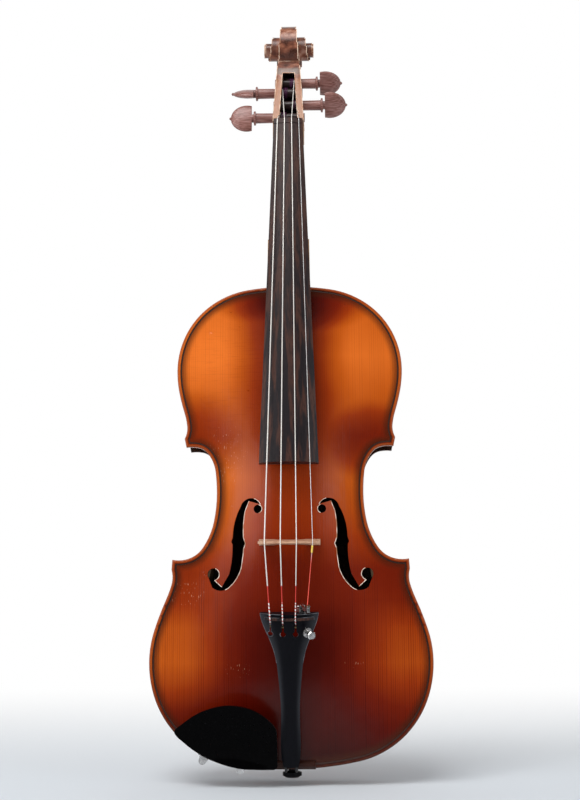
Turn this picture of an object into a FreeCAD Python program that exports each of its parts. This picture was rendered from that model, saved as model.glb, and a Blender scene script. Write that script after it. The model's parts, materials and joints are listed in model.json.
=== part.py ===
"""Full-size violin, built as its separate wooden, metal and ebony pieces.

Units are millimetres.  X runs across the instrument towards the treble side, Z runs up its
length towards the scroll, and the strings face -Y.  The origin lies in the middle of the rib
depth, on the centre line, level with the lower edge of the plates.
"""
import FreeCAD, Part
import math
import os
import Sketcher

V = FreeCAD.Vector
os.makedirs("parts", exist_ok=True)
doc = FreeCAD.newDocument("Violin")
sheet = doc.addObject("Spreadsheet::Sheet", "Sizes")

# Driving dimensions: cell alias, size, and what it measures.
SIZES = (
    ("body_length", 354.0, "plates, lower edge to upper edge"),
    ("upper_bout", 168.0, "width of the upper bout"),
    ("middle_bout", 108.2, "width of the waist"),
    ("lower_bout", 206.4, "width of the lower bout"),
    ("rib_depth", 31.0, "depth of the ribs between the plates"),
    ("rib_thickness", 1.1, "thickness of a rib"),
    ("overhang", 2.7, "plate edge outside the ribs"),
    ("glue_line", 0.05, "film of glue in a curved joint"),
    ("edge_thickness", 4.0, "plate at its edge"),
    ("edge_round", 1.2, "rounding of the plate edge"),
    ("flute_depth", 0.5, "channel inside the edge"),
    ("front_arch", 15.5, "top of the front plate over the ribs"),
    ("back_arch", 14.5, "top of the back plate over the ribs"),
    ("plate_thickness", 3.0, "wood of the arched plates"),
    ("hollow_inset", 7.0, "flat gluing surface inside the edge"),
    ("purfling_inset", 2.4, "plate edge to purfling"),
    ("purfling_width", 1.2, "three-ply inlay"),
    ("purfling_depth", 1.7, "depth of the inlay below the channel"),
    ("button_width", 21.0, "tab of the back under the heel"),
    ("button_rise", 12.5, "tab above the body edge"),
    ("end_block_width", 46.0, "block at the lower end"),
    ("end_block_depth", 16.0, "lower block, along the body"),
    ("neck_block_width", 54.0, "block at the neck"),
    ("neck_block_depth", 17.0, "upper block, along the body"),
    ("corner_block_reach", 26.0, "corner block from the corner"),
    ("lining_thickness", 2.0, "lining strip"),
    ("lining_height", 7.0, "lining strip, along the rib depth"),
    ("stop_length", 194.0, "upper edge to the bridge"),
    ("bar_width", 5.5, "bass bar"),
    ("bar_height", 11.0, "bass bar at its middle"),
    ("bar_length", 262.0, "bass bar"),
    ("bar_offset", 17.0, "bass bar from the centre line"),
    ("post_diameter", 6.0, "sound post"),
    ("post_offset", 18.0, "sound post from the centre line"),
    ("post_behind_bridge", 7.0, "sound post below the bridge"),
    ("hole_height", 67.1, "f-hole, top to bottom"),
    ("hole_width", 40.5, "f-hole, side to side"),
    ("hole_inner", 20.2, "centre line to the f-hole's nearest edge"),
    ("hole_above_stop", 33.9, "f-hole's top above the bridge line"),
    ("upper_eye", 6.2, "diameter of the upper eye"),
    ("lower_eye", 8.8, "diameter of the lower eye"),
    ("neck_tilt", 6.2, "neck face back from the body's plane, degrees"),
    ("overstand", 6.0, "neck face over the plate edge"),
    ("neck_length", 129.3, "body edge to the nut, along the neck"),
    ("neck_depth_nut", 12.4, "neck wood behind the board at the nut"),
    ("neck_depth_heel", 14.2, "neck wood behind the board at the heel"),
    ("heel_width", 32.5, "heel at the neck face"),
    ("heel_rise", 36.0, "heel curve's start above the body edge"),
    ("mortise_depth", 6.0, "neck root in the block"),
    ("board_length", 267.0, "fingerboard"),
    ("board_width_nut", 22.4, "fingerboard at the nut"),
    ("board_width_end", 43.2, "fingerboard at its wide end"),
    ("board_edge", 5.0, "fingerboard's side height"),
    ("board_radius", 42.0, "curve across the fingerboard and bridge"),
    ("nut_thickness", 4.0, "nut, along the neck"),
    ("nut_lift", 0.5, "nut over the board"),
    ("head_width_nut", 24.0, "pegbox at the nut"),
    ("head_width_throat", 17.6, "pegbox at the throat"),
    ("head_length", 51.0, "nut to throat"),
    ("head_tilt", 18.0, "pegbox face from the body's plane, degrees"),
    ("head_depth_nut", 24.0, "pegbox, face to back at the nut"),
    ("head_depth_throat", 16.0, "pegbox, face to back at the throat"),
    ("cheek", 4.4, "pegbox wall beside the pegs"),
    ("pegbox_floor", 4.0, "pegbox wood behind the pegs"),
    ("scroll_radius", 19.5, "eye to the top of the scroll"),
    ("scroll_top_width", 9.6, "scroll's band at its top"),
    ("scroll_eye_width", 38.8, "across the two eyes"),
    ("eye_diameter", 10.6, "scroll's eye"),
    ("eye_rise", 1.0, "scroll's eye beyond its last turn"),
    ("scroll_turn_share", 0.564, "scroll's radius after a whole turn, as a share"),
    ("peg_length", 38.0, "longest peg from its tip to the collar"),
    ("peg_tip", 7.0, "peg's diameter at the tip"),
    ("peg_shoulder", 7.9, "peg's diameter at the collar"),
    ("peg_collar", 11.0, "collar diameter"),
    ("peg_collar_width", 2.2, "collar along the peg"),
    ("peg_neck", 6.4, "peg between collar and thumb piece"),
    ("peg_thumb_length", 16.5, "thumb piece along the peg"),
    ("peg_thumb_width", 22.2, "thumb piece across the peg"),
    ("peg_thumb_thickness", 6.4, "thumb piece at its middle"),
    ("peg_flat_share", 0.31, "thumb piece's flat side inside its widest place, as a share"),
    ("peg_pip", 2.4, "pip on the thumb piece"),
    ("peg_fit", 0.04, "running clearance round a peg"),
    ("turn_gap", 0.45, "gap between turns of a string on its peg"),
    ("string_relief", 0.55, "room round a string where it enters the pegbox"),
    ("bridge_height", 33.0, "bridge over the arched plate"),
    ("bridge_width", 44.4, "across the bridge's feet"),
    ("bridge_crown_width", 43.4, "across the bridge's top"),
    ("bridge_foot_thickness", 4.4, "bridge at the feet"),
    ("bridge_top_thickness", 1.5, "bridge at the strings"),
    ("string_spread_bridge", 34.0, "outer strings at the bridge"),
    ("string_spread_nut", 16.4, "outer strings at the nut"),
    ("string_spread_tail", 26.8, "outer strings at the tailpiece"),
    ("string_g", 0.82, "G string"),
    ("string_d", 0.74, "D string"),
    ("string_a", 0.66, "A string"),
    ("string_e", 0.4, "E string"),
    ("string_seat", 0.03, "string over nut and bridge"),
    ("string_bend", 3.0, "string's bend over nut and bridge"),
    ("tail_length", 112.0, "tailpiece"),
    ("tail_width", 42.4, "tailpiece at its wide end"),
    ("tail_tilt", 13.9, "tailpiece from the body's plane, degrees"),
    ("tail_edge", 3.2, "tailpiece's side height"),
    ("tail_wall", 2.2, "tailpiece's wall over its hollow"),
    ("tail_start", 3.0, "tailpiece's lower end above the body edge"),
    ("tail_hole", 4.0, "hole for a string's ball"),
    ("tail_slot", 1.3, "slot that holds the string"),
    ("fret_rise", 1.2, "fret over the tailpiece"),
    ("fret_thickness", 1.8, "fret, along the tailpiece"),
    ("ball_diameter", 2.9, "ball end of a string"),
    ("saddle_width", 35.0, "saddle across the body"),
    ("saddle_depth", 6.2, "saddle, along the body"),
    ("saddle_rise", 7.0, "saddle over the ribs"),
    ("gut_diameter", 1.8, "tail cord"),
    ("button_head", 14.0, "end button's head diameter"),
    ("button_head_length", 5.0, "end button's head"),
    ("button_neck", 5.6, "end button's neck diameter"),
    ("button_neck_length", 5.6, "end button's neck outside the rib"),
    ("pin_length", 17.0, "end button's shank in the block"),
    ("pin_fit", 0.03, "fit of the shank in the block"),
    ("tuner_screw", 3.0, "fine tuner's screw diameter"),
    ("tuner_screw_length", 19.0, "fine tuner's screw"),
    ("tuner_knob", 6.0, "fine tuner's knob diameter"),
    ("tuner_knob_height", 3.6, "fine tuner's knob"),
    ("tuner_nut", 6.8, "fine tuner's lock nut diameter"),
    ("tuner_nut_height", 2.0, "fine tuner's lock nut"),
    ("tuner_back", 13.0, "screw from the tailpiece's wide end"),
    ("tuner_aside", 12.0, "screw from the centre line"),
    ("tuner_lean", 22.0, "tuner's lean to the side, degrees"),
    ("tuner_drop", 7.4, "tuner's plate below the tailpiece's face"),
    ("tuner_plate", 1.2, "metal of the tuner's frame"),
    ("tuner_pin", 1.6, "tuner's pivot pin"),
    ("tuner_lever", 2.4, "lever's thickness"),
    ("tuner_hook", 4.6, "lever's hook over the tailpiece's face"),
    ("tuner_ahead", 2.8, "pivot beyond the tailpiece's wide end"),
    ("tuner_fit", 0.05, "running clearance in the fine tuner"),
    ("sleeve_length", 5.0, "sleeve on the E string at the bridge"),
    ("sleeve_diameter", 1.3, "sleeve on the E string"),
    ("rest_width", 72.8, "chin rest across the body"),
    ("rest_height", 46.5, "chin rest along the body"),
    ("rest_start", 9.6, "chin rest from the centre line"),
    ("rest_rim", 28.0, "chin rest's high rim over the ribs"),
    ("rest_low", 15.0, "chin rest's low side over the ribs"),
    ("rest_dish", 4.5, "hollow of the chin rest"),
    ("rest_thickness", 5.0, "wood of the chin rest"),
    ("cork_thickness", 1.6, "cork under chin rest and clamp"),
    ("clamp_plate", 1.6, "metal of the clamp"),
    ("clamp_width", 36.0, "clamp along the body's edge"),
    ("clamp_reach", 8.0, "clamp over the plate, inside the edge"),
    ("clamp_offset", 2.4, "clamp's barrels outside the edge"),
    ("clamp_centre", 49.5, "clamp from the centre line"),
    ("barrel_diameter", 5.4, "clamp's barrel"),
    ("barrel_length", 22.0, "clamp's barrel"),
    ("barrel_spread", 28.0, "between the clamp's barrels"),
    ("clamp_rod", 3.0, "clamp's threaded rod"),
    ("clamp_fit", 0.05, "running clearance in a barrel"),
    ("overrun", 5.0, "how far a cutter runs past its face"),
    ("soft_gap", 0.1, "between cork or cord and its neighbour"),
)
for row, (alias, value, meaning) in enumerate(SIZES, start=1):
    sheet.set(f"A{row}", alias)
    sheet.set(f"B{row}", str(value))
    sheet.setAlias(f"B{row}", alias)
    sheet.set(f"C{row}", meaning)
doc.recompute()


class SheetReader:
    """Gives a cell of the sheet as a plain number."""

    def __getattr__(self, alias):
        return float(sheet.get(alias))


size = SheetReader()
pieces = []
nearly_straight = 1e-6
half_ribs = size.rib_depth / 2
stop = size.body_length - size.stop_length


def at(x, forward, z):
    """A point by its height in front of the ribs' front edge."""
    return V(x, -half_ribs - forward, z)


def keep(label, shape, placement=None):
    """Adds one piece whose shape is worked out here."""
    piece = doc.addObject("Part::Feature", label)
    piece.Label = label
    piece.Shape = shape
    if placement is not None:
        piece.Placement = placement
    pieces.append(piece)
    return shape


def mirrored(shape):
    """The same piece on the other side of the centre line."""
    return shape.mirror(V(0, 0, 0), V(1, 0, 0))


def box(low, high):
    """A block between two corners."""
    corner = V(min(low.x, high.x), min(low.y, high.y), min(low.z, high.z))
    return Part.makeBox(abs(high.x - low.x), abs(high.y - low.y), abs(high.z - low.z), corner)


def body(label, placement):
    """An empty body for sketched features."""
    piece = doc.addObject("PartDesign::Body", label)
    piece.Label = label
    piece.Placement = placement
    pieces.append(piece)
    return piece


def draw(piece, role, name, corners):
    """A closed sketch on one of the body's planes, each corner bound to the sheet."""
    plane = next(item for item in piece.Origin.OriginFeatures if item.Role == role)
    sketch = piece.newObject("Sketcher::SketchObject", name)
    sketch.AttachmentSupport = [(plane, "")]
    sketch.MapMode = "FlatFace"
    places = [V(*(float(sheet.evalExpression(term)) for term in corner), 0) for corner in corners]
    following = places[1:] + places[:1]
    lines = [sketch.addGeometry(Part.LineSegment(a, b), False) for a, b in zip(places, following)]
    for line, after in zip(lines, lines[1:] + lines[:1]):
        sketch.addConstraint(Sketcher.Constraint("Coincident", line, 2, after, 1))
    for line, corner, place in zip(lines, corners, places):
        for kind, axis, term, value in (("DistanceX", -2, corner[0], place.x),
                                        ("DistanceY", -1, corner[1], place.y)):
            if term == "0":
                sketch.addConstraint(Sketcher.Constraint("PointOnObject", line, 1, axis))
                continue
            index = sketch.addConstraint(Sketcher.Constraint(kind, -1, 1, line, 1, value))
            sketch.setExpression(f"Constraints[{index}]", term)
    return sketch


def turned(label, profile, placement):
    """A turned piece: pairs of radius and height, spun about its own Z axis."""
    piece = body(label, placement)
    sketch = draw(piece, "XZ_Plane", label + "_profile", profile)
    turning = piece.newObject("PartDesign::Revolution", label + "_turning")
    turning.Profile = sketch
    turning.ReferenceAxis = (sketch, ["V_Axis"])
    turning.Angle = 360
    piece.Tip = turning
    return piece


# The outline.  Each row is a point of the right half: its share of the bout's half width, its
# share of the body length, and the heading of the curve there in degrees.
UPPER_SHARES = (
    ("upper", 0.0, 1.0, 0), ("upper", 0.69, 0.962, -35), ("upper", 1.0, 0.819, -90),
    ("upper", 0.9345, 0.73, -107.5), ("upper", 0.931, 0.675, -62))
WAIST_SHARES = (
    ("upper", 0.9145, 0.6565, 172), ("middle", 1.1275, 0.644, 231), ("middle", 1.0, 0.5595, 270),
    ("middle", 1.1885, 0.447, 304), ("lower", 0.841, 0.4226, 372))
LOWER_SHARES = (
    ("lower", 0.846, 0.4017, -106), ("lower", 0.8847, 0.34, -66), ("lower", 1.0, 0.2133, -90),
    ("lower", 0.853, 0.0847, -128), ("lower", 0.0, 0.0, -180))
bout_half = {
    "upper": size.upper_bout / 2, "middle": size.middle_bout / 2, "lower": size.lower_bout / 2}


def heading(angle):
    """Unit direction of an angle in degrees."""
    return math.cos(math.radians(angle)), math.sin(math.radians(angle))


def arc_from(start, along, end):
    """The arc that leaves start in a direction and reaches end: centre, ends and turn."""
    chord = (end[0] - start[0], end[1] - start[1])
    cross = along[0] * chord[1] - along[1] * chord[0]
    half_turn = math.atan2(cross, along[0] * chord[0] + along[1] * chord[1])
    if abs(half_turn) < nearly_straight:
        half_turn = nearly_straight
    radius = math.hypot(*chord) / 2 / math.sin(half_turn)
    centre = (start[0] - along[1] * radius, start[1] + along[0] * radius)
    return centre, start, end, 2 * half_turn


def biarc(start, leaving, end, arriving):
    """Two arcs that join two points smoothly at the given headings."""
    a, b = heading(leaving), heading(arriving)
    chord = (end[0] - start[0], end[1] - start[1])
    both = (a[0] + b[0], a[1] + b[1])
    square = 2 * (1 - a[0] * b[0] - a[1] * b[1])
    linear = 2 * (chord[0] * both[0] + chord[1] * both[1])
    constant = -(chord[0] ** 2 + chord[1] ** 2)
    if square < nearly_straight ** 2:
        reach = -constant / linear
    else:
        reach = (math.sqrt(linear ** 2 - 4 * square * constant) - linear) / (2 * square)
    first = (start[0] + reach * a[0], start[1] + reach * a[1])
    second = (end[0] - reach * b[0], end[1] - reach * b[1])
    joint = ((first[0] + second[0]) / 2, (first[1] + second[1]) / 2)
    length = math.hypot(second[0] - first[0], second[1] - first[1])
    along = ((second[0] - first[0]) / length, (second[1] - first[1]) / length)
    return [arc_from(start, a, joint), arc_from(joint, along, end)]


def section(rows):
    """The arcs of one bout."""
    points = [((bout_half[bout] * across, size.body_length * up), angle)
              for bout, across, up, angle in rows]
    arcs = []
    for (start, leaving), (end, arriving) in zip(points, points[1:]):
        arcs += biarc(start, leaving, end, arriving)
    return arcs


def inward(arc, inset):
    """The arc moved towards the inside of the body."""
    centre, start, end, turn = arc
    radius = math.hypot(start[0] - centre[0], start[1] - centre[1])
    scale = (radius - inset if turn < 0 else radius + inset) / radius
    moved = [(centre[0] + (p[0] - centre[0]) * scale, centre[1] + (p[1] - centre[1]) * scale)
             for p in (start, end)]
    return centre, moved[0], moved[1], turn


def retrimmed(arc, start, end):
    """The arc with new ends on the same circle."""
    centre, old_start, old_end, turn = arc
    angles = [math.atan2(p[1] - centre[1], p[0] - centre[0]) for p in (start, end)]
    new_turn = angles[1] - angles[0]
    while new_turn - turn > math.pi:
        new_turn -= 2 * math.pi
    while turn - new_turn > math.pi:
        new_turn += 2 * math.pi
    return centre, start, end, new_turn


def on_line(arc, point, along, near):
    """Where the arc's circle crosses a line, nearest to a point."""
    centre, start = arc[0], arc[1]
    radius = math.hypot(start[0] - centre[0], start[1] - centre[1])
    off = (centre[0] - point[0], centre[1] - point[1])
    travel = off[0] * along[0] + off[1] * along[1]
    foot = (point[0] + along[0] * travel, point[1] + along[1] * travel)
    half = math.sqrt(radius ** 2 - (centre[0] - foot[0]) ** 2 - (centre[1] - foot[1]) ** 2)
    both = [(foot[0] + along[0] * k, foot[1] + along[1] * k) for k in (half, -half)]
    return min(both, key=lambda p: math.hypot(p[0] - near[0], p[1] - near[1]))


def on_circle(arc, other, near):
    """Where two arcs' circles cross, nearest to a point."""
    (ax, az), (bx, bz) = arc[0], other[0]
    first = math.hypot(arc[1][0] - ax, arc[1][1] - az)
    second = math.hypot(other[1][0] - bx, other[1][1] - bz)
    apart = math.hypot(bx - ax, bz - az)
    travel = (first ** 2 - second ** 2 + apart ** 2) / (2 * apart)
    along = ((bx - ax) / apart, (bz - az) / apart)
    foot = (ax + along[0] * travel, az + along[1] * travel)
    return on_line(arc, foot, (-along[1], along[0]), near)


def corner(before, after, tip, inset):
    """Trims two bouts at their corner and gives the short end cut, if any wood is left there."""
    (ax, az), (bx, bz) = tip
    length = math.hypot(bx - ax, bz - az)
    along = ((bx - ax) / length, (bz - az) / length)
    moved = (ax + along[1] * inset, az - along[0] * inset)
    near_before, near_after = before[-1][2], after[0][1]
    p = on_line(before[-1], moved, along, near_before)
    q = on_line(after[0], moved, along, near_after)
    cut = (q[0] - p[0]) * along[0] + (q[1] - p[1]) * along[1] > size.glue_line
    if not cut:
        p = q = on_circle(before[-1], after[0], moved)
    before[-1] = retrimmed(before[-1], before[-1][1], p)
    after[0] = retrimmed(after[0], q, after[0][2])
    return [("cut", p, q)] if cut else []


def half_outline(inset):
    """The right half of the outline, from the upper centre to the lower centre."""
    bouts = [section(rows) for rows in (UPPER_SHARES, WAIST_SHARES, LOWER_SHARES)]
    upper, waist, lower = [[inward(arc, inset) for arc in bout] for bout in bouts]
    upper_tip = (bouts[0][-1][2], bouts[1][0][1])
    lower_tip = (bouts[1][-1][2], bouts[2][0][1])
    upper_cut = corner(upper, waist, upper_tip, inset)
    lower_cut = corner(waist, lower, lower_tip, inset)
    return upper + upper_cut + waist + lower_cut + lower


def edge_of(item, side, y):
    """One curve of the outline as an edge, on the right side (1) or the left (-1)."""
    if item[0] == "cut":
        start, end = item[1], item[2]
        return Part.LineSegment(V(side * start[0], y, start[1]), V(side * end[0], y, end[1])).toShape()
    centre, start, end, turn = item
    dx, dz = start[0] - centre[0], start[1] - centre[1]
    c, s = math.cos(turn / 2), math.sin(turn / 2)
    middle = (centre[0] + dx * c - dz * s, centre[1] + dx * s + dz * c)
    points = [V(side * p[0], y, p[1]) for p in (start, middle, end)]
    return Part.Arc(*points).toShape()


def outline_prism(inset, y_from, y_to):
    """A solid with the body's outline, drawn in by the inset."""
    half = half_outline(inset)
    edges = [edge_of(item, 1, y_from) for item in half]
    edges += [edge_of(item, -1, y_from) for item in reversed(half)]
    face = Part.Face(Part.Wire(Part.sortEdges(edges)[0]))
    return face.extrude(V(0, y_to - y_from, 0))


# The arching.  Rows give a share of the body length and the half width of the arch there, as a
# share of a bout's half width.
ARCH_SHARES = (
    (-0.02, "lower", 0.72), (0.08, "lower", 0.86), (0.21, "lower", 0.955), (0.33, "lower", 0.84),
    (0.41, "lower", 0.68), (0.47, "middle", 1.06), (0.56, "middle", 0.94), (0.63, "middle", 1.03),
    (0.69, "upper", 0.83), (0.74, "upper", 0.9), (0.82, "upper", 0.955), (0.92, "upper", 0.88),
    (1.02, "upper", 0.66))
ramp_share = 0.31
ramp_power = 0.8
cross_power = 0.85


def arch_half(up):
    """Half width of the arch at a share of the body length, on a smooth curve."""
    rows = [(share, bout_half[bout] * across) for share, bout, across in ARCH_SHARES]
    up = min(max(up, rows[0][0]), rows[-1][0])
    index = max(i for i in range(len(rows) - 1) if rows[i][0] <= up)
    slopes = []
    for i in (index, index + 1):
        low, high = rows[max(i - 1, 0)], rows[min(i + 1, len(rows) - 1)]
        slopes.append((high[1] - low[1]) / (high[0] - low[0]))
    (u0, w0), (u1, w1) = rows[index], rows[index + 1]
    span = u1 - u0
    t = (up - u0) / span
    return (w0 * (2 * t ** 3 - 3 * t ** 2 + 1) + w1 * (3 * t ** 2 - 2 * t ** 3)
            + span * slopes[0] * (t ** 3 - 2 * t ** 2 + t) + span * slopes[1] * (t ** 3 - t ** 2))


def arch_height(arch, x, z):
    """Height of a plate's outer surface over the ribs."""
    channel = size.edge_thickness - size.flute_depth
    up = z / size.body_length
    end = min(up, 1 - up) / ramp_share
    rise = 0 if end <= 0 else (0.5 - 0.5 * math.cos(math.pi * min(end, 1))) ** ramp_power
    across = min(abs(x) / arch_half(up), 1)
    bulge = (0.5 + 0.5 * math.cos(math.pi * across)) ** cross_power
    return channel + (arch - channel) * rise * bulge


def arch_solid(arch, lower, side, reach):
    """Everything beyond a plate's surface, lowered by a thickness: front is side -1."""
    wide = size.lower_bout / 2 + size.overrun
    columns, rows = 29, 45
    tall = size.body_length + 2 * size.overrun
    grid = []
    for i in range(columns):
        x = wide * (2 * i / (columns - 1) - 1)
        line = []
        for j in range(rows):
            z = tall * j / (rows - 1) - size.overrun
            line.append(V(x, side * (half_ribs + arch_height(arch, x, z) - lower), z))
        grid.append(line)
    surface = Part.BSplineSurface()
    surface.interpolate(grid)
    return surface.toShape().extrude(V(0, side * reach, 0))


# F-holes.  Shares of the hole's width, measured outwards from its inner edge, and of its height,
# measured up from its lowest point; the outer side runs down and the inner side runs up.
OUTER_SHARES = (
    (0.03, 0.93), (0.19, 1.0), (0.39, 0.918), (0.485, 0.787), (0.54, 0.58), (0.568, 0.528),
    (0.543, 0.499), (0.545, 0.39), (0.602, 0.177), (0.735, 0.04))
EYE_WING_SHARE = (0.9, 0.13)
EYE_EDGE_SHARE = (0.985, 0.15)
INNER_SHARES = (
    (0.91, 0.036), (0.74, 0.0), (0.585, 0.042), (0.452, 0.14), (0.378, 0.247), (0.345, 0.39),
    (0.336, 0.455), (0.304, 0.505), (0.343, 0.571), (0.347, 0.64), (0.314, 0.86), (0.242, 0.969))
UPPER_EYE_SHARE = (0.079, 0.881)
LOWER_EYE_SHARE = (0.889, 0.177)


def hole_point(shares):
    """A point of the left f-hole."""
    across, up = shares
    x = -(size.hole_inner + across * size.hole_width)
    z = stop + size.hole_above_stop - (1 - up) * size.hole_height
    return V(x, 0, z)


def arc_run(points):
    """Arcs through each three points of a row."""
    runs = range(0, len(points) - 2, 2)
    return [Part.Arc(points[i], points[i + 1], points[i + 2]).toShape() for i in runs]


def line_run(points):
    """Straight edges through a row of points."""
    return [Part.LineSegment(a, b).toShape() for a, b in zip(points, points[1:])]


def f_hole():
    """The cutter for the left f-hole."""
    outer = [hole_point(share) for share in OUTER_SHARES]
    inner = [hole_point(share) for share in INNER_SHARES]
    wing, eye_edge = hole_point(EYE_WING_SHARE), hole_point(EYE_EDGE_SHARE)
    edges = arc_run(outer[0:5]) + line_run(outer[4:7]) + arc_run(outer[6:9])
    edges += line_run([outer[8], outer[9], wing, eye_edge, inner[0]])
    edges += arc_run(inner[0:5]) + line_run(inner[4:6]) + line_run(inner[5:9])
    edges += arc_run(inner[8:11]) + line_run([inner[10], inner[11], outer[0]])
    stem = Part.Face(Part.Wire(edges))
    depth = V(0, -size.front_arch - half_ribs - size.overrun, 0)
    cutter = stem.extrude(depth)
    for share, diameter in ((UPPER_EYE_SHARE, size.upper_eye), (LOWER_EYE_SHARE, size.lower_eye)):
        eye = Part.makeCylinder(diameter / 2, depth.Length, hole_point(share), V(0, -1, 0))
        cutter = cutter.fuse(eye)
    return cutter


# The neck's own frame: its Y runs up the neck and its Z stands off the neck's face.
neck_origin = at(0, size.edge_thickness + size.overstand, size.body_length)
neck_place = FreeCAD.Placement(neck_origin, FreeCAD.Rotation(V(1, 0, 0), 90 - size.neck_tilt))


def neck_point(along, height):
    """A point on the centre line in the neck's frame, as (y, z)."""
    point = neck_place.multVec(V(0, along, height))
    return point.y, point.z


# Zones that other pieces take out of the plates, the ribs and the upper block.
face_low = neck_point(-size.overhang - size.mortise_depth, 0)
heel_bottom = size.body_length - size.overhang - size.mortise_depth


def root_wedge(fit):
    """The neck's root and heel, which narrow towards the back, grown by a fit."""
    slope = (size.heel_width - size.button_width) / 2 / (half_ribs - face_low[0])
    front, back = face_low[0] - size.overrun, half_ribs + size.overrun
    wide, narrow = [size.heel_width / 2 + fit - slope * (y - face_low[0]) for y in (front, back)]
    low = heel_bottom - fit
    corners = [V(-wide, front, low), V(wide, front, low), V(narrow, back, low), V(-narrow, back, low)]
    return Part.Face(Part.makePolygon(corners + corners[:1])).extrude(V(0, 0, size.neck_length))


def saddle_zone(fit):
    """The saddle's seat at the lower edge of the front plate."""
    half = size.saddle_width / 2 + fit
    return box(at(-half, -fit, -size.overrun), at(half, size.front_arch, size.saddle_depth + fit))


root_room = root_wedge(size.glue_line)


def plate(arch, side):
    """An arched plate with its rounded edge, channel and hollow, and the purfling in its groove."""
    inner, outer = side * half_ribs, side * (half_ribs + size.edge_thickness)
    slab = outline_prism(0, inner, outer)
    if side > 0:
        rise = size.body_length + size.button_rise - size.button_width / 2
        half = size.button_width / 2
        tab = box(V(-half, inner, size.body_length - size.neck_block_depth), V(half, outer, rise))
        round_end = Part.makeCylinder(half, size.edge_thickness, V(0, inner, rise), V(0, 1, 0))
        slab = slab.fuse(tab).fuse(round_end).removeSplitter()
    level = [edge for edge in slab.Edges if edge.BoundBox.YLength < size.glue_line]
    rims = [edge for edge in level if abs(edge.BoundBox.YMin - outer) < size.glue_line]
    slab = slab.makeFillet(size.edge_round, rims)
    beyond = arch_solid(arch, 0, side, arch + size.overrun)
    bottom = half_ribs + size.edge_thickness - size.flute_depth - size.purfling_depth
    far = side * (half_ribs + arch + size.overrun)
    recess = outline_prism(size.purfling_inset, side * bottom, far)
    core_inset = size.purfling_inset + size.purfling_width
    core = outline_prism(core_inset, inner, far).cut(beyond)
    wood = slab.cut(recess).fuse(core)
    strip = outline_prism(size.purfling_inset + size.glue_line, side * (bottom + size.glue_line), far)
    strip = strip.cut(outline_prism(core_inset - size.glue_line, side * bottom, far)).cut(beyond)
    under = arch_solid(arch, size.plate_thickness, side, arch + size.overrun)
    hollow = outline_prism(size.hollow_inset, 0, far).cut(under)
    return wood.cut(hollow), strip


front_wood, front_strip = plate(size.front_arch, -1)
hole = f_hole()
for cutter in (hole, mirrored(hole), saddle_zone(size.glue_line), root_room):
    front_wood = front_wood.cut(cutter)
front_strip = front_strip.cut(saddle_zone(size.glue_line)).cut(root_room)
back_wood, back_strip = plate(size.back_arch, 1)
keep("top_plate", front_wood)
keep("front_purfling", front_strip)
keep("back_plate", back_wood)
keep("back_purfling", back_strip)

# Ribs: six strips that stand between the plates and meet in mitres at the four corners.
rib_in = size.overhang + size.rib_thickness
garland = outline_prism(size.overhang, -half_ribs, half_ribs)
garland = garland.cut(outline_prism(rib_in, -half_ribs - size.overrun, half_ribs + size.overrun))
whole = half_outline(size.overhang)
tips = [((item[1][0] + item[2][0]) / 2, (item[1][1] + item[2][1]) / 2)
        for item in whole if item[0] == "cut"]
mitre_slopes = (145, 223)
far_out = size.lower_bout
mitre = []
for (tip_x, tip_z), slope in zip(tips, mitre_slopes):
    dx, dz = heading(slope)
    mitre.append([(0, tip_z + tip_x * dz / -dx), (tip_x - dx * size.corner_block_reach,
                                                  tip_z - dz * size.corner_block_reach)])


def flat_prism(points, y_from, y_to):
    """A solid over a polygon of (x, z) points."""
    corners = [V(x, y_from, z) for x, z in points]
    return Part.Face(Part.makePolygon(corners + corners[:1])).extrude(V(0, y_to - y_from, 0))


(upper_in, upper_out), (lower_in, lower_out) = mitre
waist_zone = flat_prism(
    [upper_in, upper_out, (far_out, upper_out[1]), (far_out, lower_out[1]), lower_out, lower_in],
    -half_ribs, half_ribs)
above = [upper_in, upper_out, (far_out, upper_out[1]), (far_out, size.body_length + far_out),
         (0, size.body_length + far_out)]
below = [lower_in, lower_out, (far_out, lower_out[1]), (far_out, -far_out), (0, -far_out)]
pin_axis = V(0, 0, -size.overrun)
pin_radius = size.peg_shoulder / 2
pin_hole = Part.makeCylinder(pin_radius + size.pin_fit, far_out, pin_axis, V(0, 0, 1))
ribs = {
    "upper": garland.common(flat_prism(above, -half_ribs, half_ribs)).cut(root_room),
    "waist": garland.common(waist_zone),
    "lower": garland.common(flat_prism(below, -half_ribs, half_ribs)).cut(pin_hole)}
for place, strip in ribs.items():
    keep(f"{place}_rib_treble", strip)
    keep(f"{place}_rib_bass", mirrored(strip))

# Blocks inside the ribs.
inner_room = outline_prism(rib_in + size.glue_line, -half_ribs, half_ribs)
half_end = size.end_block_width / 2
end_high = rib_in + size.end_block_depth
end_zone = box(V(-half_end, -half_ribs, 0), V(half_end, half_ribs, end_high))
half_neck = size.neck_block_width / 2
neck_low = size.body_length - rib_in - size.neck_block_depth
neck_block_zone = box(V(-half_neck, -half_ribs, neck_low), V(half_neck, half_ribs, size.body_length))
corner_zones = [Part.makeCylinder(size.corner_block_reach, size.rib_depth, V(x, -half_ribs, z), V(0, 1, 0))
                for x, z in tips]
keep("end_block", inner_room.common(end_zone).cut(pin_hole))
keep("neck_block", inner_room.common(neck_block_zone).cut(root_room))
for zone, place in zip(corner_zones, ("upper", "lower")):
    block = inner_room.common(zone)
    keep(f"{place}_corner_block_treble", block)
    keep(f"{place}_corner_block_bass", mirrored(block))

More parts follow.
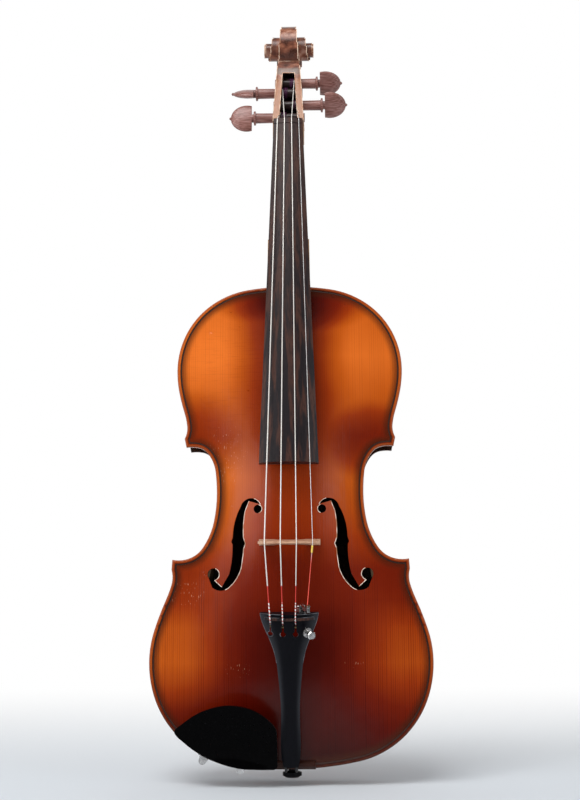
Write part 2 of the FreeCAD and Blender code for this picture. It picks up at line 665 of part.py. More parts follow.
# Linings: strips along the ribs between the blocks, at the front and at the back.
taken = [end_zone, neck_block_zone] + corner_zones + [mirrored(zone) for zone in corner_zones]
for label, y_from, y_to in (("front_linings", -half_ribs, size.lining_height - half_ribs),
                            ("back_linings", half_ribs - size.lining_height, half_ribs)):
    inner_lining = rib_in + size.lining_thickness
    ring = outline_prism(rib_in + size.glue_line, y_from, y_to)
    ring = ring.cut(outline_prism(inner_lining, y_from - size.overrun, y_to + size.overrun))
    for zone in taken:
        ring = ring.cut(zone)
    keep(label, ring)

# Bass bar, tapered to its ends, and sound post, both cut to the plates' inner surfaces.
bar_middle = size.body_length / 2
half_bar = size.bar_length / 2
crest = half_ribs + size.front_arch - size.plate_thickness
bar_side = Part.Face(Part.Wire([
    Part.Arc(V(0, -half_ribs - size.edge_thickness, bar_middle - half_bar),
             V(0, size.bar_height - crest, bar_middle),
             V(0, -half_ribs - size.edge_thickness, bar_middle + half_bar)).toShape(),
    *line_run([V(0, -half_ribs - size.edge_thickness, bar_middle + half_bar),
               V(0, -crest - size.overrun, bar_middle + half_bar),
               V(0, -crest - size.overrun, bar_middle - half_bar),
               V(0, -half_ribs - size.edge_thickness, bar_middle - half_bar)])]))
bar_side.translate(V(-size.bar_offset - size.bar_width / 2, 0, 0))
bar_fit = arch_solid(size.front_arch, size.plate_thickness + size.glue_line, -1,
                     size.front_arch + size.overrun)
keep("bass_bar", bar_side.extrude(V(size.bar_width, 0, 0)).cut(bar_fit))
post_z = stop - size.post_behind_bridge
post_reach = half_ribs + size.front_arch
post = Part.makeCylinder(size.post_diameter / 2, 2 * post_reach,
                         V(size.post_offset, -post_reach, post_z), V(0, 1, 0))
back_fit = arch_solid(size.back_arch, size.plate_thickness + size.glue_line, 1,
                      size.back_arch + size.overrun)
keep("sound_post", post.cut(bar_fit).cut(back_fit))


# Fingerboard: flat below and curved above, wider towards the bridge.
def board_half(along):
    """Half width of the fingerboard at a distance along the neck."""
    share = (size.neck_length - along) / size.board_length
    return (size.board_width_nut + (size.board_width_end - size.board_width_nut) * share) / 2


def crown(half, x=0.0):
    """Rise of the fingerboard's curve over its sides."""
    return math.sqrt(size.board_radius ** 2 - x ** 2) - math.sqrt(size.board_radius ** 2 - half ** 2)


def board_wire(along):
    """The fingerboard's section."""
    half = board_half(along)
    low_left, low_right = V(-half, along, 0), V(half, along, 0)
    left, right = V(-half, along, size.board_edge), V(half, along, size.board_edge)
    top = V(0, along, size.board_edge + crown(half))
    edges = line_run([left, low_left, low_right, right]) + [Part.Arc(right, top, left).toShape()]
    return Part.Wire(edges)


board_end = size.neck_length - size.board_length
fingerboard = Part.makeLoft([board_wire(board_end), board_wire(size.neck_length)], True, True)
keep("fingerboard", fingerboard, neck_place)

# Nut: a block under the same curve as the fingerboard, a little higher.
nut_box = doc.addObject("Part::Box", "nut_box")
nut_box.setExpression("Length", "Sizes.board_width_nut")
nut_box.setExpression("Width", "Sizes.nut_thickness")
nut_box.setExpression("Height", "Sizes.board_edge * 2")
nut_box.setExpression("Placement.Base.x", "-Sizes.board_width_nut / 2")
nut_box.setExpression("Placement.Base.y", "Sizes.neck_length + Sizes.glue_line")
nut_curve = doc.addObject("Part::Cylinder", "nut_curve")
nut_curve.setExpression("Radius", "Sizes.board_radius")
nut_curve.setExpression("Height", "Sizes.nut_thickness * 3")
nut_curve.Placement = FreeCAD.Placement(V(0, 0, 0), FreeCAD.Rotation(V(1, 0, 0), -90))
nut_curve.setExpression("Placement.Base.y", "Sizes.neck_length - Sizes.nut_thickness")
nut_curve.setExpression(
    "Placement.Base.z",
    "Sizes.board_edge + Sizes.nut_lift - sqrt(Sizes.board_radius ^ 2 - (Sizes.board_width_nut / 2) ^ 2)")
nut_block = doc.addObject("Part::MultiCommon", "nut_block")
nut_block.Shapes = [nut_box, nut_curve]
nut_block.Placement = neck_place


def neck_wire(along, depth):
    """The neck's half-round section."""
    half = board_half(along)
    left, right, low = V(-half, along, 0), V(half, along, 0), V(0, along, -depth)
    edges = line_run([left, right]) + [Part.Arc(right, low, left).toShape()]
    return Part.Wire(edges)


def side_prism(points, half):
    """A solid over a side profile of (y, z) points, as wide as twice the half."""
    corners = [V(-half, y, z) for y, z in points]
    return Part.Face(Part.makePolygon(corners + corners[:1])).extrude(V(2 * half, 0, 0))


nut_top = size.neck_length + size.nut_thickness + 2 * size.glue_line
shaft = Part.makeLoft([neck_wire(size.heel_rise - size.mortise_depth, size.neck_depth_heel),
                       neck_wire(nut_top, size.neck_depth_nut)], True, True)
shaft.Placement = neck_place

# Heel: a side profile with its hollow curve, narrowed towards the back.
heel_top = size.body_length + size.button_rise - size.edge_round
curve_start = V(0, half_ribs, heel_top)
curve_end_y, curve_end_z = neck_point(size.heel_rise, -size.neck_depth_heel + size.glue_line)
curve_end = V(0, curve_end_y, curve_end_z)
face_high = neck_point(size.heel_rise, 0)
sag_share = 0.16
run = curve_end - curve_start
curve_middle = (curve_start + curve_end) / 2 + V(0, -run.z, run.y).normalize() * run.Length * sag_share
heel_edges = [Part.Arc(curve_start, curve_middle, curve_end).toShape()]
heel_edges += line_run([curve_end, V(0, *face_high), V(0, face_low[0], heel_bottom),
                        V(0, half_ribs, heel_bottom), curve_start])
heel_face = Part.Face(Part.Wire(heel_edges))
heel_face.translate(V(-size.heel_width, 0, 0))
heel = heel_face.extrude(V(2 * size.heel_width, 0, 0)).common(root_wedge(0))

# Pegbox.  Its face leans back from the nut to the throat, and its back runs into the scroll.
# The shares place the eyes from the throat, the back's points, and the wood under the nut.
eye_back_share, eye_up_share = 0.72, 0.93
back_depth_share, back_drop_share, back_hollow_share = 0.94, 0.14, 0.28
sweep_back_share, sweep_up_share = 0.45, 0.4
chin_share = 2.5
face_step = size.board_edge / 2
nut_y, nut_z = neck_point(nut_top, 0)
lean = math.tan(math.radians(size.head_tilt))
throat_z = nut_z + size.head_length
face_nut_y = nut_y - face_step
throat_y = face_nut_y + size.head_length * lean
eye_y = throat_y + size.scroll_radius * eye_back_share
eye_z = throat_z + size.scroll_radius * eye_up_share
growth = math.log(size.scroll_turn_share) / 360
back_angle, step_angle, eye_angle = -90, 45, 720


def spiral_point(angle, x=0.0):
    """A point of the scroll's edge: zero degrees is its top, and it turns over the front to the eye."""
    radius = max(size.scroll_radius * math.exp(growth * angle), size.eye_diameter / 2)
    turn = math.radians(angle)
    return V(x, eye_y - radius * math.sin(turn), eye_z + radius * math.cos(turn))


def spiral_slab(first, x_from, x_to):
    """One whole turn of the scroll from an angle inwards, as thick as the two places across it say."""
    edges = []
    for i in range(360 // step_angle):
        start = first + step_angle * i
        edges.append(Part.Arc(spiral_point(start, x_from), spiral_point(start + step_angle / 2, x_from),
                              spiral_point(start + step_angle, x_from)).toShape())
    outer_end, inner_end = spiral_point(first, x_from), spiral_point(first + 360, x_from)
    if (outer_end - inner_end).Length > size.glue_line:
        edges.append(Part.LineSegment(inner_end, outer_end).toShape())
    return Part.Face(Part.Wire(edges)).extrude(V(x_to - x_from, 0, 0))


back_nut = (face_nut_y + size.head_depth_nut, nut_z)
chin_along = size.neck_length - size.nut_thickness * chin_share
chin = neck_point(chin_along, -size.neck_depth_nut)
back_throat = (throat_y + size.head_depth_throat * back_depth_share,
               throat_z - size.head_length * back_drop_share)
back_middle = ((back_nut[0] + back_throat[0]) / 2 + size.cheek * back_hollow_share,
               (back_nut[1] + back_throat[1]) / 2)
scroll_back = spiral_point(back_angle)
sweep = (back_throat[0] + (scroll_back.y - back_throat[0]) * sweep_back_share,
         back_throat[1] + (scroll_back.z - back_throat[1]) * sweep_up_share)
rear = Part.BSplineCurve()
rear.interpolate([V(0, *chin), V(0, *back_nut), V(0, *back_middle), V(0, *back_throat),
                  V(0, *sweep), scroll_back])
face_line = line_run([
    scroll_back, V(0, eye_y, eye_z), V(0, throat_y, throat_z), V(0, *neck_point(nut_top, face_step)),
    V(0, nut_y, nut_z), V(0, *neck_point(chin_along, 0)), V(0, *chin)])
head_face = Part.Face(Part.Wire([rear.toShape()] + face_line))
head_face.translate(V(-size.heel_width, 0, 0))
head = head_face.extrude(V(2 * size.heel_width, 0, 0))
top_half, throat_half = size.scroll_top_width / 2, size.head_width_throat / 2
nut_half = size.head_width_nut / 2
widths = [(nut_half, chin[1]), (nut_half, nut_z), (throat_half, throat_z),
          (top_half, eye_z + size.eye_diameter / 2), (top_half, eye_z + size.scroll_radius)]
head = head.common(flat_prism(widths + [(-x, z) for x, z in reversed(widths)], -far_out, far_out))
# The scroll is a stack of slabs, each a turn that starts one step further in and stands further out.
eye_half = size.scroll_eye_width / 2
turn_half = eye_half - size.eye_rise
starts = list(range(0, eye_angle, step_angle))
out_places = [top_half + (turn_half - top_half) * start / eye_angle for start in starts] + [turn_half]
scroll = spiral_slab(back_angle, -top_half, top_half)
slabs = [spiral_slab(start, out, further) for start, out, further in zip(starts, out_places, out_places[1:])]
slabs.append(spiral_slab(eye_angle + 3 * step_angle, turn_half, eye_half))
scroll = scroll.fuse(slabs + [mirrored(slab) for slab in slabs]).removeSplitter()

# Pegs: bass pegs have their heads on the left, treble pegs on the right.  Each row gives the
# string, the side of the head, how far up the pegbox and how deep in it the peg lies, as shares,
# the peg's length and its collar's distance from the centre, as shares of the longest peg, the
# turn of its head, and its string's place and size.
PEG_SHARES = (
    ("g", -1, 0.14, 0.52, 1.0, 0.67, 6, -0.5, "string_g"),
    ("e", 1, 0.358, 0.54, 0.97, 0.655, 48, 0.5, "string_e"),
    ("d", -1, 0.576, 0.53, 0.92, 0.635, 62, -1 / 6, "string_d"),
    ("a", 1, 0.742, 0.51, 0.84, 0.555, 56, 1 / 6, "string_a"))


def peg_axis(up, deep):
    """Where a peg crosses the centre plane, as (y, z)."""
    depth = size.head_depth_nut + (size.head_depth_throat - size.head_depth_nut) * up
    return face_nut_y + size.head_length * lean * up + depth * deep, nut_z + size.head_length * up


def peg_radius(distance, length):
    """A peg's radius at a distance from its tip."""
    return (size.peg_tip + (size.peg_shoulder - size.peg_tip) * distance / length) / 2


def room_half(up):
    """Half width of the pegbox's hollow at a share of the head's length."""
    return nut_half + (throat_half - nut_half) * up - size.cheek


# The hollow runs between two shares of the head's length, and its front corner clears the nut.
hollow_low, hollow_front, hollow_high = -0.04, 0.01, 0.87
cavity_side = []
for up in (hollow_front, hollow_high):
    cavity_side.append((peg_axis(up, 0)[0] - size.overrun, peg_axis(up, 0)[1]))
for up in (hollow_high, hollow_low):
    cavity_side.append((peg_axis(up, 1)[0] - size.pegbox_floor, peg_axis(up, 1)[1]))
room = [(x - size.cheek, z) for x, z in widths[1:3]]
room = [(room[0][0] + size.glue_line, room[0][1] - size.overrun)] + room[1:]
cavity = side_prism(cavity_side, size.heel_width)
cavity = cavity.common(flat_prism(room + [(-x, z) for x, z in reversed(room)], -far_out, far_out))
head = head.fuse(scroll).cut(cavity)
neck_wood = heel.fuse(shaft).fuse(head)
for name, hand, up, deep, length_share, out_share, turn, lane, gauge in PEG_SHARES:
    peg_y, peg_z = peg_axis(up, deep)
    tip = V(hand * size.peg_length * (out_share - length_share), peg_y, peg_z)
    bore = Part.makeCone(size.peg_tip / 2 + size.peg_fit, size.peg_shoulder / 2 + size.peg_fit,
                         size.peg_length * length_share, tip, V(hand, 0, 0))
    neck_wood = neck_wood.cut(bore)


def peg_profile(length_share):
    """Half section of a peg's shank and collar, as expressions of radius and height."""
    collar = f"Sizes.peg_length * {length_share}"
    return (
        ("0", "0"), ("Sizes.peg_tip / 2", "0"), ("Sizes.peg_shoulder / 2", collar),
        ("Sizes.peg_collar / 2", f"{collar} + Sizes.peg_collar_width * 0.2"),
        ("Sizes.peg_collar / 2", f"{collar} + Sizes.peg_collar_width * 0.8"),
        ("Sizes.peg_neck / 2", f"{collar} + Sizes.peg_collar_width"),
        ("Sizes.peg_neck / 2", f"{collar} + Sizes.peg_collar_width * 2"),
        ("0", f"{collar} + Sizes.peg_collar_width * 2"))


for name, hand, up, deep, length_share, out_share, turn, lane, gauge in PEG_SHARES:
    peg_y, peg_z = peg_axis(up, deep)
    tip = V(hand * size.peg_length * (out_share - length_share), peg_y, peg_z)
    lie = FreeCAD.Rotation(V(0, 0, 1), V(hand, 0, 0))
    own_turn = FreeCAD.Rotation(V(0, 0, 1), 90 * (1 - hand) + turn)
    peg = turned(f"peg_{name}", peg_profile(length_share), FreeCAD.Placement(tip, lie.multiply(own_turn)))
    flat = f"Sizes.peg_length * {length_share} + Sizes.peg_collar_width * 1.6"
    thumb = peg.newObject("PartDesign::AdditiveEllipsoid", f"thumb_{name}")
    thumb.setExpression("Radius1", "Sizes.peg_thumb_length / (1 + Sizes.peg_flat_share)")
    thumb.setExpression("Radius2", "Sizes.peg_thumb_width / 2")
    thumb.setExpression("Radius3", "Sizes.peg_thumb_thickness / 2")
    thumb.Angle1 = -math.degrees(math.asin(size.peg_flat_share))
    thumb.setExpression("Placement.Base.z", f"{flat} + Sizes.peg_thumb_length * Sizes.peg_flat_share"
                                            " / (1 + Sizes.peg_flat_share)")
    pip = peg.newObject("PartDesign::AdditiveSphere", f"pip_{name}")
    pip.setExpression("Radius", "Sizes.peg_pip / 2")
    pip.setExpression("Placement.Base.z", f"{flat} + Sizes.peg_thumb_length")
    peg.Tip = pip

# Bridge: cut from a wedge, with the heart, the side openings and the arch between its feet.
bridge_base = size.front_arch
crown_top = bridge_base + size.bridge_height
half_top, half_foot = size.bridge_crown_width / 2, size.bridge_width / 2
BRIDGE_SHARES = (
    (0.98, 0.81), (0.86, 0.7), (0.66, 0.57), (0.6, 0.5), (0.9, 0.42), (0.97, 0.33), (0.82, 0.24),
    (0.7, 0.19), (0.8, 0.12), (1.0, 0.08), (1.0, -0.2), (0.52, -0.2), (0.5, 0.08))
UNDER_ARCH_SHARES = ((0.3, 0.238), (0, 0.27))
HEART_SHARES = ((0.11, 0.56), (-0.11, 0.56), (0, 0.5))
heart_share = 0.055
side_drop = size.board_radius - math.sqrt(size.board_radius ** 2 - half_top ** 2)


def bridge_point(share):
    """A point of the bridge's right half, from its share of the foot's half width and height."""
    return at(half_foot * share[0], bridge_base + size.bridge_height * share[1], 0)


side_points = [bridge_point(share) for share in BRIDGE_SHARES]
top_right = at(half_top, crown_top - side_drop, 0)
half_edges = [Part.Arc(at(0, crown_top, 0),
                       at(half_top / 2, crown_top - size.board_radius
                          + math.sqrt(size.board_radius ** 2 - (half_top / 2) ** 2), 0),
                       top_right).toShape()]
half_edges += line_run([top_right, side_points[0]]) + arc_run(side_points[0:3]) + arc_run(side_points[2:5])
half_edges += arc_run(side_points[4:7]) + arc_run(side_points[6:9]) + line_run(side_points[8:13])
arch_side, arch_top = [bridge_point(share) for share in UNDER_ARCH_SHARES]
half_edges += [Part.Arc(side_points[12], arch_side, arch_top).toShape()]
half_edges += line_run([arch_top, at(0, crown_top, 0)])
bridge_half = Part.Face(Part.Wire(half_edges)).extrude(V(0, 0, size.bridge_foot_thickness))
bridge = bridge_half.fuse(mirrored(bridge_half)).removeSplitter()
heart_radius = size.bridge_width * heart_share
for share in HEART_SHARES:
    lobe = Part.makeCylinder(heart_radius, size.bridge_foot_thickness, bridge_point(share), V(0, 0, 1))
    bridge = bridge.cut(lobe)
taper = size.bridge_foot_thickness - size.bridge_top_thickness
low_y, high_y = at(0, bridge_base, 0).y, at(0, crown_top, 0).y
slope_cut = side_prism([(low_y, size.bridge_foot_thickness), (high_y, size.bridge_top_thickness),
                        (high_y - size.overrun, size.bridge_top_thickness),
                        (high_y - size.overrun, 2 * size.bridge_foot_thickness),
                        (low_y, 2 * size.bridge_foot_thickness)], size.bridge_width)
bridge = bridge.cut(slope_cut)
bridge.translate(V(0, 0, stop - size.bridge_top_thickness / 2))
front_solid = outline_prism(size.hollow_inset, 0, -far_out)
foot_fit = front_solid.cut(arch_solid(size.front_arch, -size.glue_line, -1, far_out))
bridge = bridge.cut(foot_fit)

# Tailpiece in its own frame: Y runs up it and Z stands off its face.
tail_origin = at(0, size.saddle_rise + size.soft_gap, size.tail_start)
tail_place = FreeCAD.Placement(tail_origin, FreeCAD.Rotation(V(1, 0, 0), 90 + size.tail_tilt))
TAIL_SHARES = ((0.0, 0.25), (0.06, 0.31), (0.33, 0.315), (0.6, 0.4), (0.8, 0.6), (0.93, 0.88), (1.0, 0.97))
tail_crown_share = 0.14


def tail_section(share, grown=0.0, sunk=0.0):
    """The tailpiece's section at a share of its length, with a share of its width at the wide end."""
    along_share, width_share = share
    half_wood = size.tail_width * width_share / 2
    half = half_wood + grown
    along = size.tail_length * along_share
    edge = size.tail_edge + grown
    rise = 2 * half_wood * tail_crown_share
    left, right = V(-half, along, edge), V(half, along, edge)
    low_left, low_right = V(-half, along, -sunk), V(half, along, -sunk)
    top = V(0, along, edge + rise)
    return Part.Wire(line_run([left, low_left, low_right, right]) + [Part.Arc(right, top, left).toShape()])


def tail_height(x, along):
    """Height of the tailpiece's face near its wide end."""
    near = [share for share in TAIL_SHARES if share[0] * size.tail_length <= along][-1]
    after = [share for share in TAIL_SHARES if share[0] * size.tail_length > along][0]
    mix = (along / size.tail_length - near[0]) / (after[0] - near[0])
    half = size.tail_width * (near[1] + (after[1] - near[1]) * mix) / 2
    rise = 2 * half * tail_crown_share
    radius = (half ** 2 + rise ** 2) / (2 * rise)
    return size.tail_edge + rise - radius + math.sqrt(radius ** 2 - x ** 2)


tail = Part.makeLoft([tail_section(share) for share in TAIL_SHARES], True, False)
hollow_shares = [share for share in TAIL_SHARES if 0 < share[0] < 1]
tail_hollow = Part.makeLoft([tail_section(share, -size.tail_wall, size.overrun) for share in hollow_shares],
                            True, False)
tail = tail.cut(tail_hollow)
string_lanes = (-0.5, -1 / 6, 1 / 6)
hole_share, ball_share, fret_share = 0.87, 0.9186, 0.97
hole_along = size.tail_length * hole_share
ball_along = size.tail_length * ball_share
fret_along = size.tail_length * fret_share
above_tail = size.tail_width
lane_places = [lane * size.string_spread_tail for lane in string_lanes]
ball_room = size.ball_diameter / 2 + size.soft_gap


def ball_height(x):
    """Where a string's ball sits under the tailpiece's wall."""
    return tail_height(x, hole_along) - size.tail_wall - size.soft_gap


for x in lane_places:
    tail = tail.cut(box(V(x - ball_room, ball_along - ball_room, -size.overrun),
                        V(x + ball_room, ball_along + ball_room, ball_height(x) + ball_room)))
    tail = tail.cut(Part.makeCylinder(size.tail_hole / 2, above_tail, V(x, hole_along, 0)))
    tail = tail.cut(box(V(x - size.tail_slot / 2, hole_along, 0),
                        V(x + size.tail_slot / 2, fret_along - size.fret_thickness / 2, above_tail)))
tuner_along = size.tail_length - size.tuner_back
tuner_height = tail_height(size.tuner_aside, tuner_along)
tuner_frame_place = FreeCAD.Placement(V(size.tuner_aside, 0, tuner_height),
                                      FreeCAD.Rotation(V(0, 1, 0), size.tuner_lean))
tuner_place = tail_place.multiply(tuner_frame_place)
collar_radius = size.tuner_screw / 2 + size.tuner_fit + size.tuner_plate
tuner_bore = Part.makeCylinder(collar_radius + size.soft_gap, 4 * size.tuner_drop,
                               V(0, tuner_along, -2 * size.tuner_drop))
tuner_bore.Placement = tuner_frame_place
tail = tail.cut(tuner_bore)
grown = Part.makeLoft([tail_section(share, size.fret_rise) for share in TAIL_SHARES[-3:]], True, False)
fret_half = size.string_spread_tail / 2 + size.tail_hole
fret_zone = box(V(-fret_half, fret_along - size.fret_thickness / 2, size.tail_edge),
                V(fret_half, fret_along + size.fret_thickness / 2, above_tail))
groove = box(V(-fret_half - size.glue_line, fret_along - size.fret_thickness / 2 - size.glue_line,
               size.tail_edge - size.glue_line),
             V(fret_half + size.glue_line, fret_along + size.fret_thickness / 2 + size.glue_line, above_tail))
tail = tail.cut(groove)
gut_radius = size.gut_diameter / 2
gut_height_share, gut_inside_share, gut_bore_share, gut_nut_share = 0.55, 0.14, 0.2, 0.45
gut_height = size.tail_edge * gut_height_share
gut_inside = size.tail_length * gut_inside_share
gut_nut_radius = size.tail_edge * gut_nut_share
strand = size.button_neck / 2 + gut_radius + size.soft_gap
for x in (-strand, strand):
    tail = tail.cut(Part.makeCylinder(gut_radius + size.soft_gap, size.tail_length * gut_bore_share,
                                      V(x, -size.overrun, gut_height), V(0, 1, 0)))
    nut_room = gut_nut_radius + size.soft_gap
    room_end = gut_inside + size.tail_edge + 3 * size.soft_gap
    tail = tail.cut(box(V(x - nut_room, gut_inside, -size.overrun),
                        V(x + nut_room, room_end, gut_height + nut_room)))
keep("tailpiece", tail, tail_place)
fret = grown.common(fret_zone)
fret.Placement = tail_place

# Saddle in its notch, with a rounded brow that the tail cord bends over.
saddle_half = size.saddle_width / 2
saddle_body = body("saddle", FreeCAD.Placement(at(-saddle_half, 0, 0), FreeCAD.Rotation(V(1, 1, 1), 120)))
saddle_sketch = draw(saddle_body, "XY_Plane", "saddle_profile", (
    ("0", "0"), ("0", "Sizes.saddle_depth"),
    ("-Sizes.edge_thickness", "Sizes.saddle_depth"),
    ("-Sizes.saddle_rise", "Sizes.saddle_depth * 0.7"),
    ("-Sizes.saddle_rise", "Sizes.saddle_depth * 0.36"),
    ("-Sizes.edge_thickness", "0")))
saddle_pad = saddle_body.newObject("PartDesign::Pad", "saddle_pad")
saddle_pad.Profile = saddle_sketch
saddle_pad.setExpression("Length", "Sizes.saddle_width")
saddle_body.Tip = saddle_pad

# End button in the lower block, turned in one piece.
turned("end_button", (
    ("0", "-Sizes.pin_length"), ("Sizes.peg_shoulder / 2 - Sizes.pin_fit", "-Sizes.pin_length"),
    ("Sizes.peg_shoulder / 2 - Sizes.pin_fit", "-Sizes.soft_gap"),
    ("Sizes.button_neck * 0.75", "-Sizes.soft_gap"),
    ("Sizes.button_neck * 0.75", "Sizes.button_neck_length * 0.2"),
    ("Sizes.button_neck / 2", "Sizes.button_neck_length * 0.2"),
    ("Sizes.button_neck / 2", "Sizes.button_neck_length"),
    ("Sizes.button_head / 2", "Sizes.button_neck_length * 1.2"),
    ("Sizes.button_head / 2", "Sizes.button_neck_length + Sizes.button_head_length * 0.7"),
    ("Sizes.button_head * 0.32", "Sizes.button_neck_length + Sizes.button_head_length"),
    ("0", "Sizes.button_neck_length + Sizes.button_head_length")),
    FreeCAD.Placement(V(0, 0, size.overhang - size.soft_gap), FreeCAD.Rotation(V(1, 0, 0), 180)))


# Cords: straight runs joined by tangent arcs, with one round section swept along them.
def rounded_path(points, bends):
    """Edges through the points, each inner corner eased with its own bend radius."""
    edges, start = [], points[0]
    for before, corner_point, after, bend in zip(points, points[1:], points[2:], bends):
        back = (before - corner_point).normalize()
        ahead = (after - corner_point).normalize()
        half = back.getAngle(ahead) / 2
        reach = bend / math.tan(half)
        middle = (back + ahead).normalize()
        enter, leave = corner_point + back * reach, corner_point + ahead * reach
        peak = corner_point + middle * (bend / math.sin(half) - bend)
        edges.append(Part.LineSegment(start, enter).toShape())
        edges.append(Part.Arc(enter, peak, leave).toShape())
        start = leave
    edges.append(Part.LineSegment(start, points[-1]).toShape())
    return edges


def cord(label, edges, radius):
    """A round cord along joined edges, checked by its volume."""
    path = Part.Wire(edges)
    start = edges[0].valueAt(edges[0].FirstParameter)
    tangent = edges[0].tangentAt(edges[0].FirstParameter)
    section_wire = Part.Wire([Part.makeCircle(radius, start, tangent)])
    tube = path.makePipeShell([section_wire], True, False)
    right = math.pi * radius ** 2 * path.Length
    print(label, "length", round(path.Length, 1), "volume share", round(tube.Volume / right, 4))
    return tube


def nut_seat(x, radius):
    """A string's centre over the nut, in the neck's frame."""
    top = size.board_edge + crown(size.board_width_nut / 2, x) + size.nut_lift
    return top + radius + size.string_seat


def bridge_seat(x, radius):
    """A string's height over the bridge, forward of the ribs."""
    drop = size.board_radius - math.sqrt(size.board_radius ** 2 - x ** 2)
    return crown_top - drop + radius + size.string_seat


pivot_along = size.tail_length + size.tuner_ahead
lever_ball_share, nut_top_share, turns = 1.1, 0.8, 3.5
e_ball_along = pivot_along + size.tuner_lever * lever_ball_share
routes, seats = {}, []
for name, hand, up, deep, length_share, out_share, turn, lane, gauge in PEG_SHARES:
    radius = getattr(size, gauge) / 2
    x_nut, x_bridge = lane * size.string_spread_nut, lane * size.string_spread_bridge
    nut_along = size.neck_length + size.nut_thickness * nut_top_share
    nut_low = neck_place.multVec(V(x_nut, nut_along, nut_seat(x_nut, radius)))
    over_bridge = at(x_bridge, bridge_seat(x_bridge, radius), stop)
    peg_y, peg_z = peg_axis(up, deep)
    string_side = size.peg_length * (length_share - out_share) + room_half(up)
    around = peg_radius(string_side, size.peg_length * length_share) + radius + size.glue_line
    reach = math.hypot(peg_y - nut_low.y, peg_z - nut_low.z)
    toward = math.atan2(peg_z - nut_low.z, peg_y - nut_low.y) + math.asin(around / reach)
    along_run = math.sqrt(reach ** 2 - around ** 2)
    touch = (nut_low.y + along_run * math.cos(toward), nut_low.z + along_run * math.sin(toward))
    pitch = 2 * radius + size.turn_gap
    x_start = hand * (room_half(up) - radius - size.string_relief)
    string_end = V(x_start, touch[0], touch[1]) - V(0, math.cos(toward), math.sin(toward)) * 4 * size.soft_gap
    if name == "e":
        ball_centre = tuner_place.multVec(V(0, e_ball_along, size.tuner_hook / 2))
        toward_bridge = (over_bridge - ball_centre).normalize()
        tail_points = [ball_centre + toward_bridge * (size.ball_diameter / 2 + size.soft_gap)]
        bends = [size.string_bend, size.string_bend]
    else:
        x_tail = lane * size.string_spread_tail
        seat = tail_height(x_tail, fret_along) + size.fret_rise + radius + size.soft_gap * 3
        over_fret = tail_place.multVec(V(x_tail, fret_along, seat))
        ball_centre = tail_place.multVec(V(x_tail, ball_along, ball_height(x_tail)))
        toward_fret = (over_fret - ball_centre).normalize()
        tail_points = [over_fret, ball_centre + toward_fret * (size.ball_diameter / 2 + size.soft_gap)]
        bends = [size.string_bend, size.string_bend, size.string_bend / 2]
    route = [string_end, nut_low, over_bridge] + tail_points
    edges = rounded_path(route, bends)
    solid = cord(f"string_{name}", edges, radius)
    keep(f"string_{name}", solid)
    routes[name] = (route, radius)
    seats.append(cord(f"seat_{name}", edges, radius + size.string_seat))
    entry = (string_end - nut_low).normalize()
    neck_wood = neck_wood.cut(Part.makeCylinder(radius + size.string_relief, (string_end - nut_low).Length,
                                                nut_low, entry))
    # The turns on the peg are half-turn arcs on a helix that starts where the string arrives.
    first = math.atan2(touch[1] - peg_z, touch[0] - peg_y)
    points, steps = [], int(turns * 4)
    for i in range(steps + 1):
        angle = first - math.pi / 2 * i
        points.append((V(x_start - hand * pitch * i / 4, peg_y + around * math.cos(angle),
                         peg_z + around * math.sin(angle)),
                       V(-hand * pitch / 4, around * math.sin(angle) * math.pi / 2,
                         -around * math.cos(angle) * math.pi / 2).normalize()))
    coil = []
    for (start, leaving), (end, arriving) in zip(points, points[1:]):
        chord = end - start
        square = 2 * (1 - leaving.dot(arriving))
        linear = 2 * chord.dot(leaving + arriving)
        reach = (math.sqrt(linear ** 2 + 4 * square * chord.dot(chord)) - linear) / (2 * square)
        first_leg, second_leg = start + leaving * reach, end - arriving * reach
        joint = (first_leg + second_leg) / 2
        for low, corner_point, high in ((start, first_leg, joint), (joint, second_leg, end)):
            back, ahead = (low - corner_point).normalize(), (high - corner_point).normalize()
            half = back.getAngle(ahead) / 2
            bend = reach * math.tan(half)
            peak = corner_point + (back + ahead).normalize() * (bend / math.sin(half) - bend)
            coil.append(Part.Arc(low, peak, high).toShape())
    keep(f"winding_{name}", cord(f"winding_{name}", coil, radius))
    print(f"winding_{name} least gap between turns", round(pitch - 2 * radius, 2))

# The strings lie in grooves of the nut and the bridge, and pass over the pegbox's edges.
keep("neck_scroll", neck_wood)
for seat in seats:
    bridge = bridge.cut(seat)
    fret = fret.cut(seat)
keep("bridge", bridge)
keep("tailpiece_fret", fret)
nut_grooves = doc.addObject("Part::Feature", "nut_grooves")
nut_grooves.Shape = Part.makeCompound(seats)
nut = doc.addObject("Part::Cut", "nut")
nut.Label = "nut"
nut.Base, nut.Tool = nut_block, nut_grooves
pieces.append(nut)

# Sleeve that keeps the thin E string from cutting into the bridge.
e_route, e_radius = routes["e"]
sleeve_dir = (e_route[3] - e_route[2]).normalize()
sleeve_start = e_route[2] + sleeve_dir * (size.string_bend + size.bridge_top_thickness) / 2
sleeve = Part.makeCylinder(size.sleeve_diameter / 2, size.sleeve_length, sleeve_start, sleeve_dir)
sleeve = sleeve.cut(Part.makeCylinder(e_radius + size.string_seat, size.sleeve_length * 3,
                                      sleeve_start - sleeve_dir * size.sleeve_length, sleeve_dir))
keep("string_sleeve", sleeve)

# Ball ends of the three plain strings, held under the tailpiece's slots.
balls = []
for x in lane_places:
    ball = Part.makeCylinder(size.ball_diameter / 2, size.ball_diameter,
                             V(x - size.ball_diameter / 2, ball_along, ball_height(x)), V(1, 0, 0))
    balls.append(ball)
keep("string_balls", Part.makeCompound(balls), tail_place)

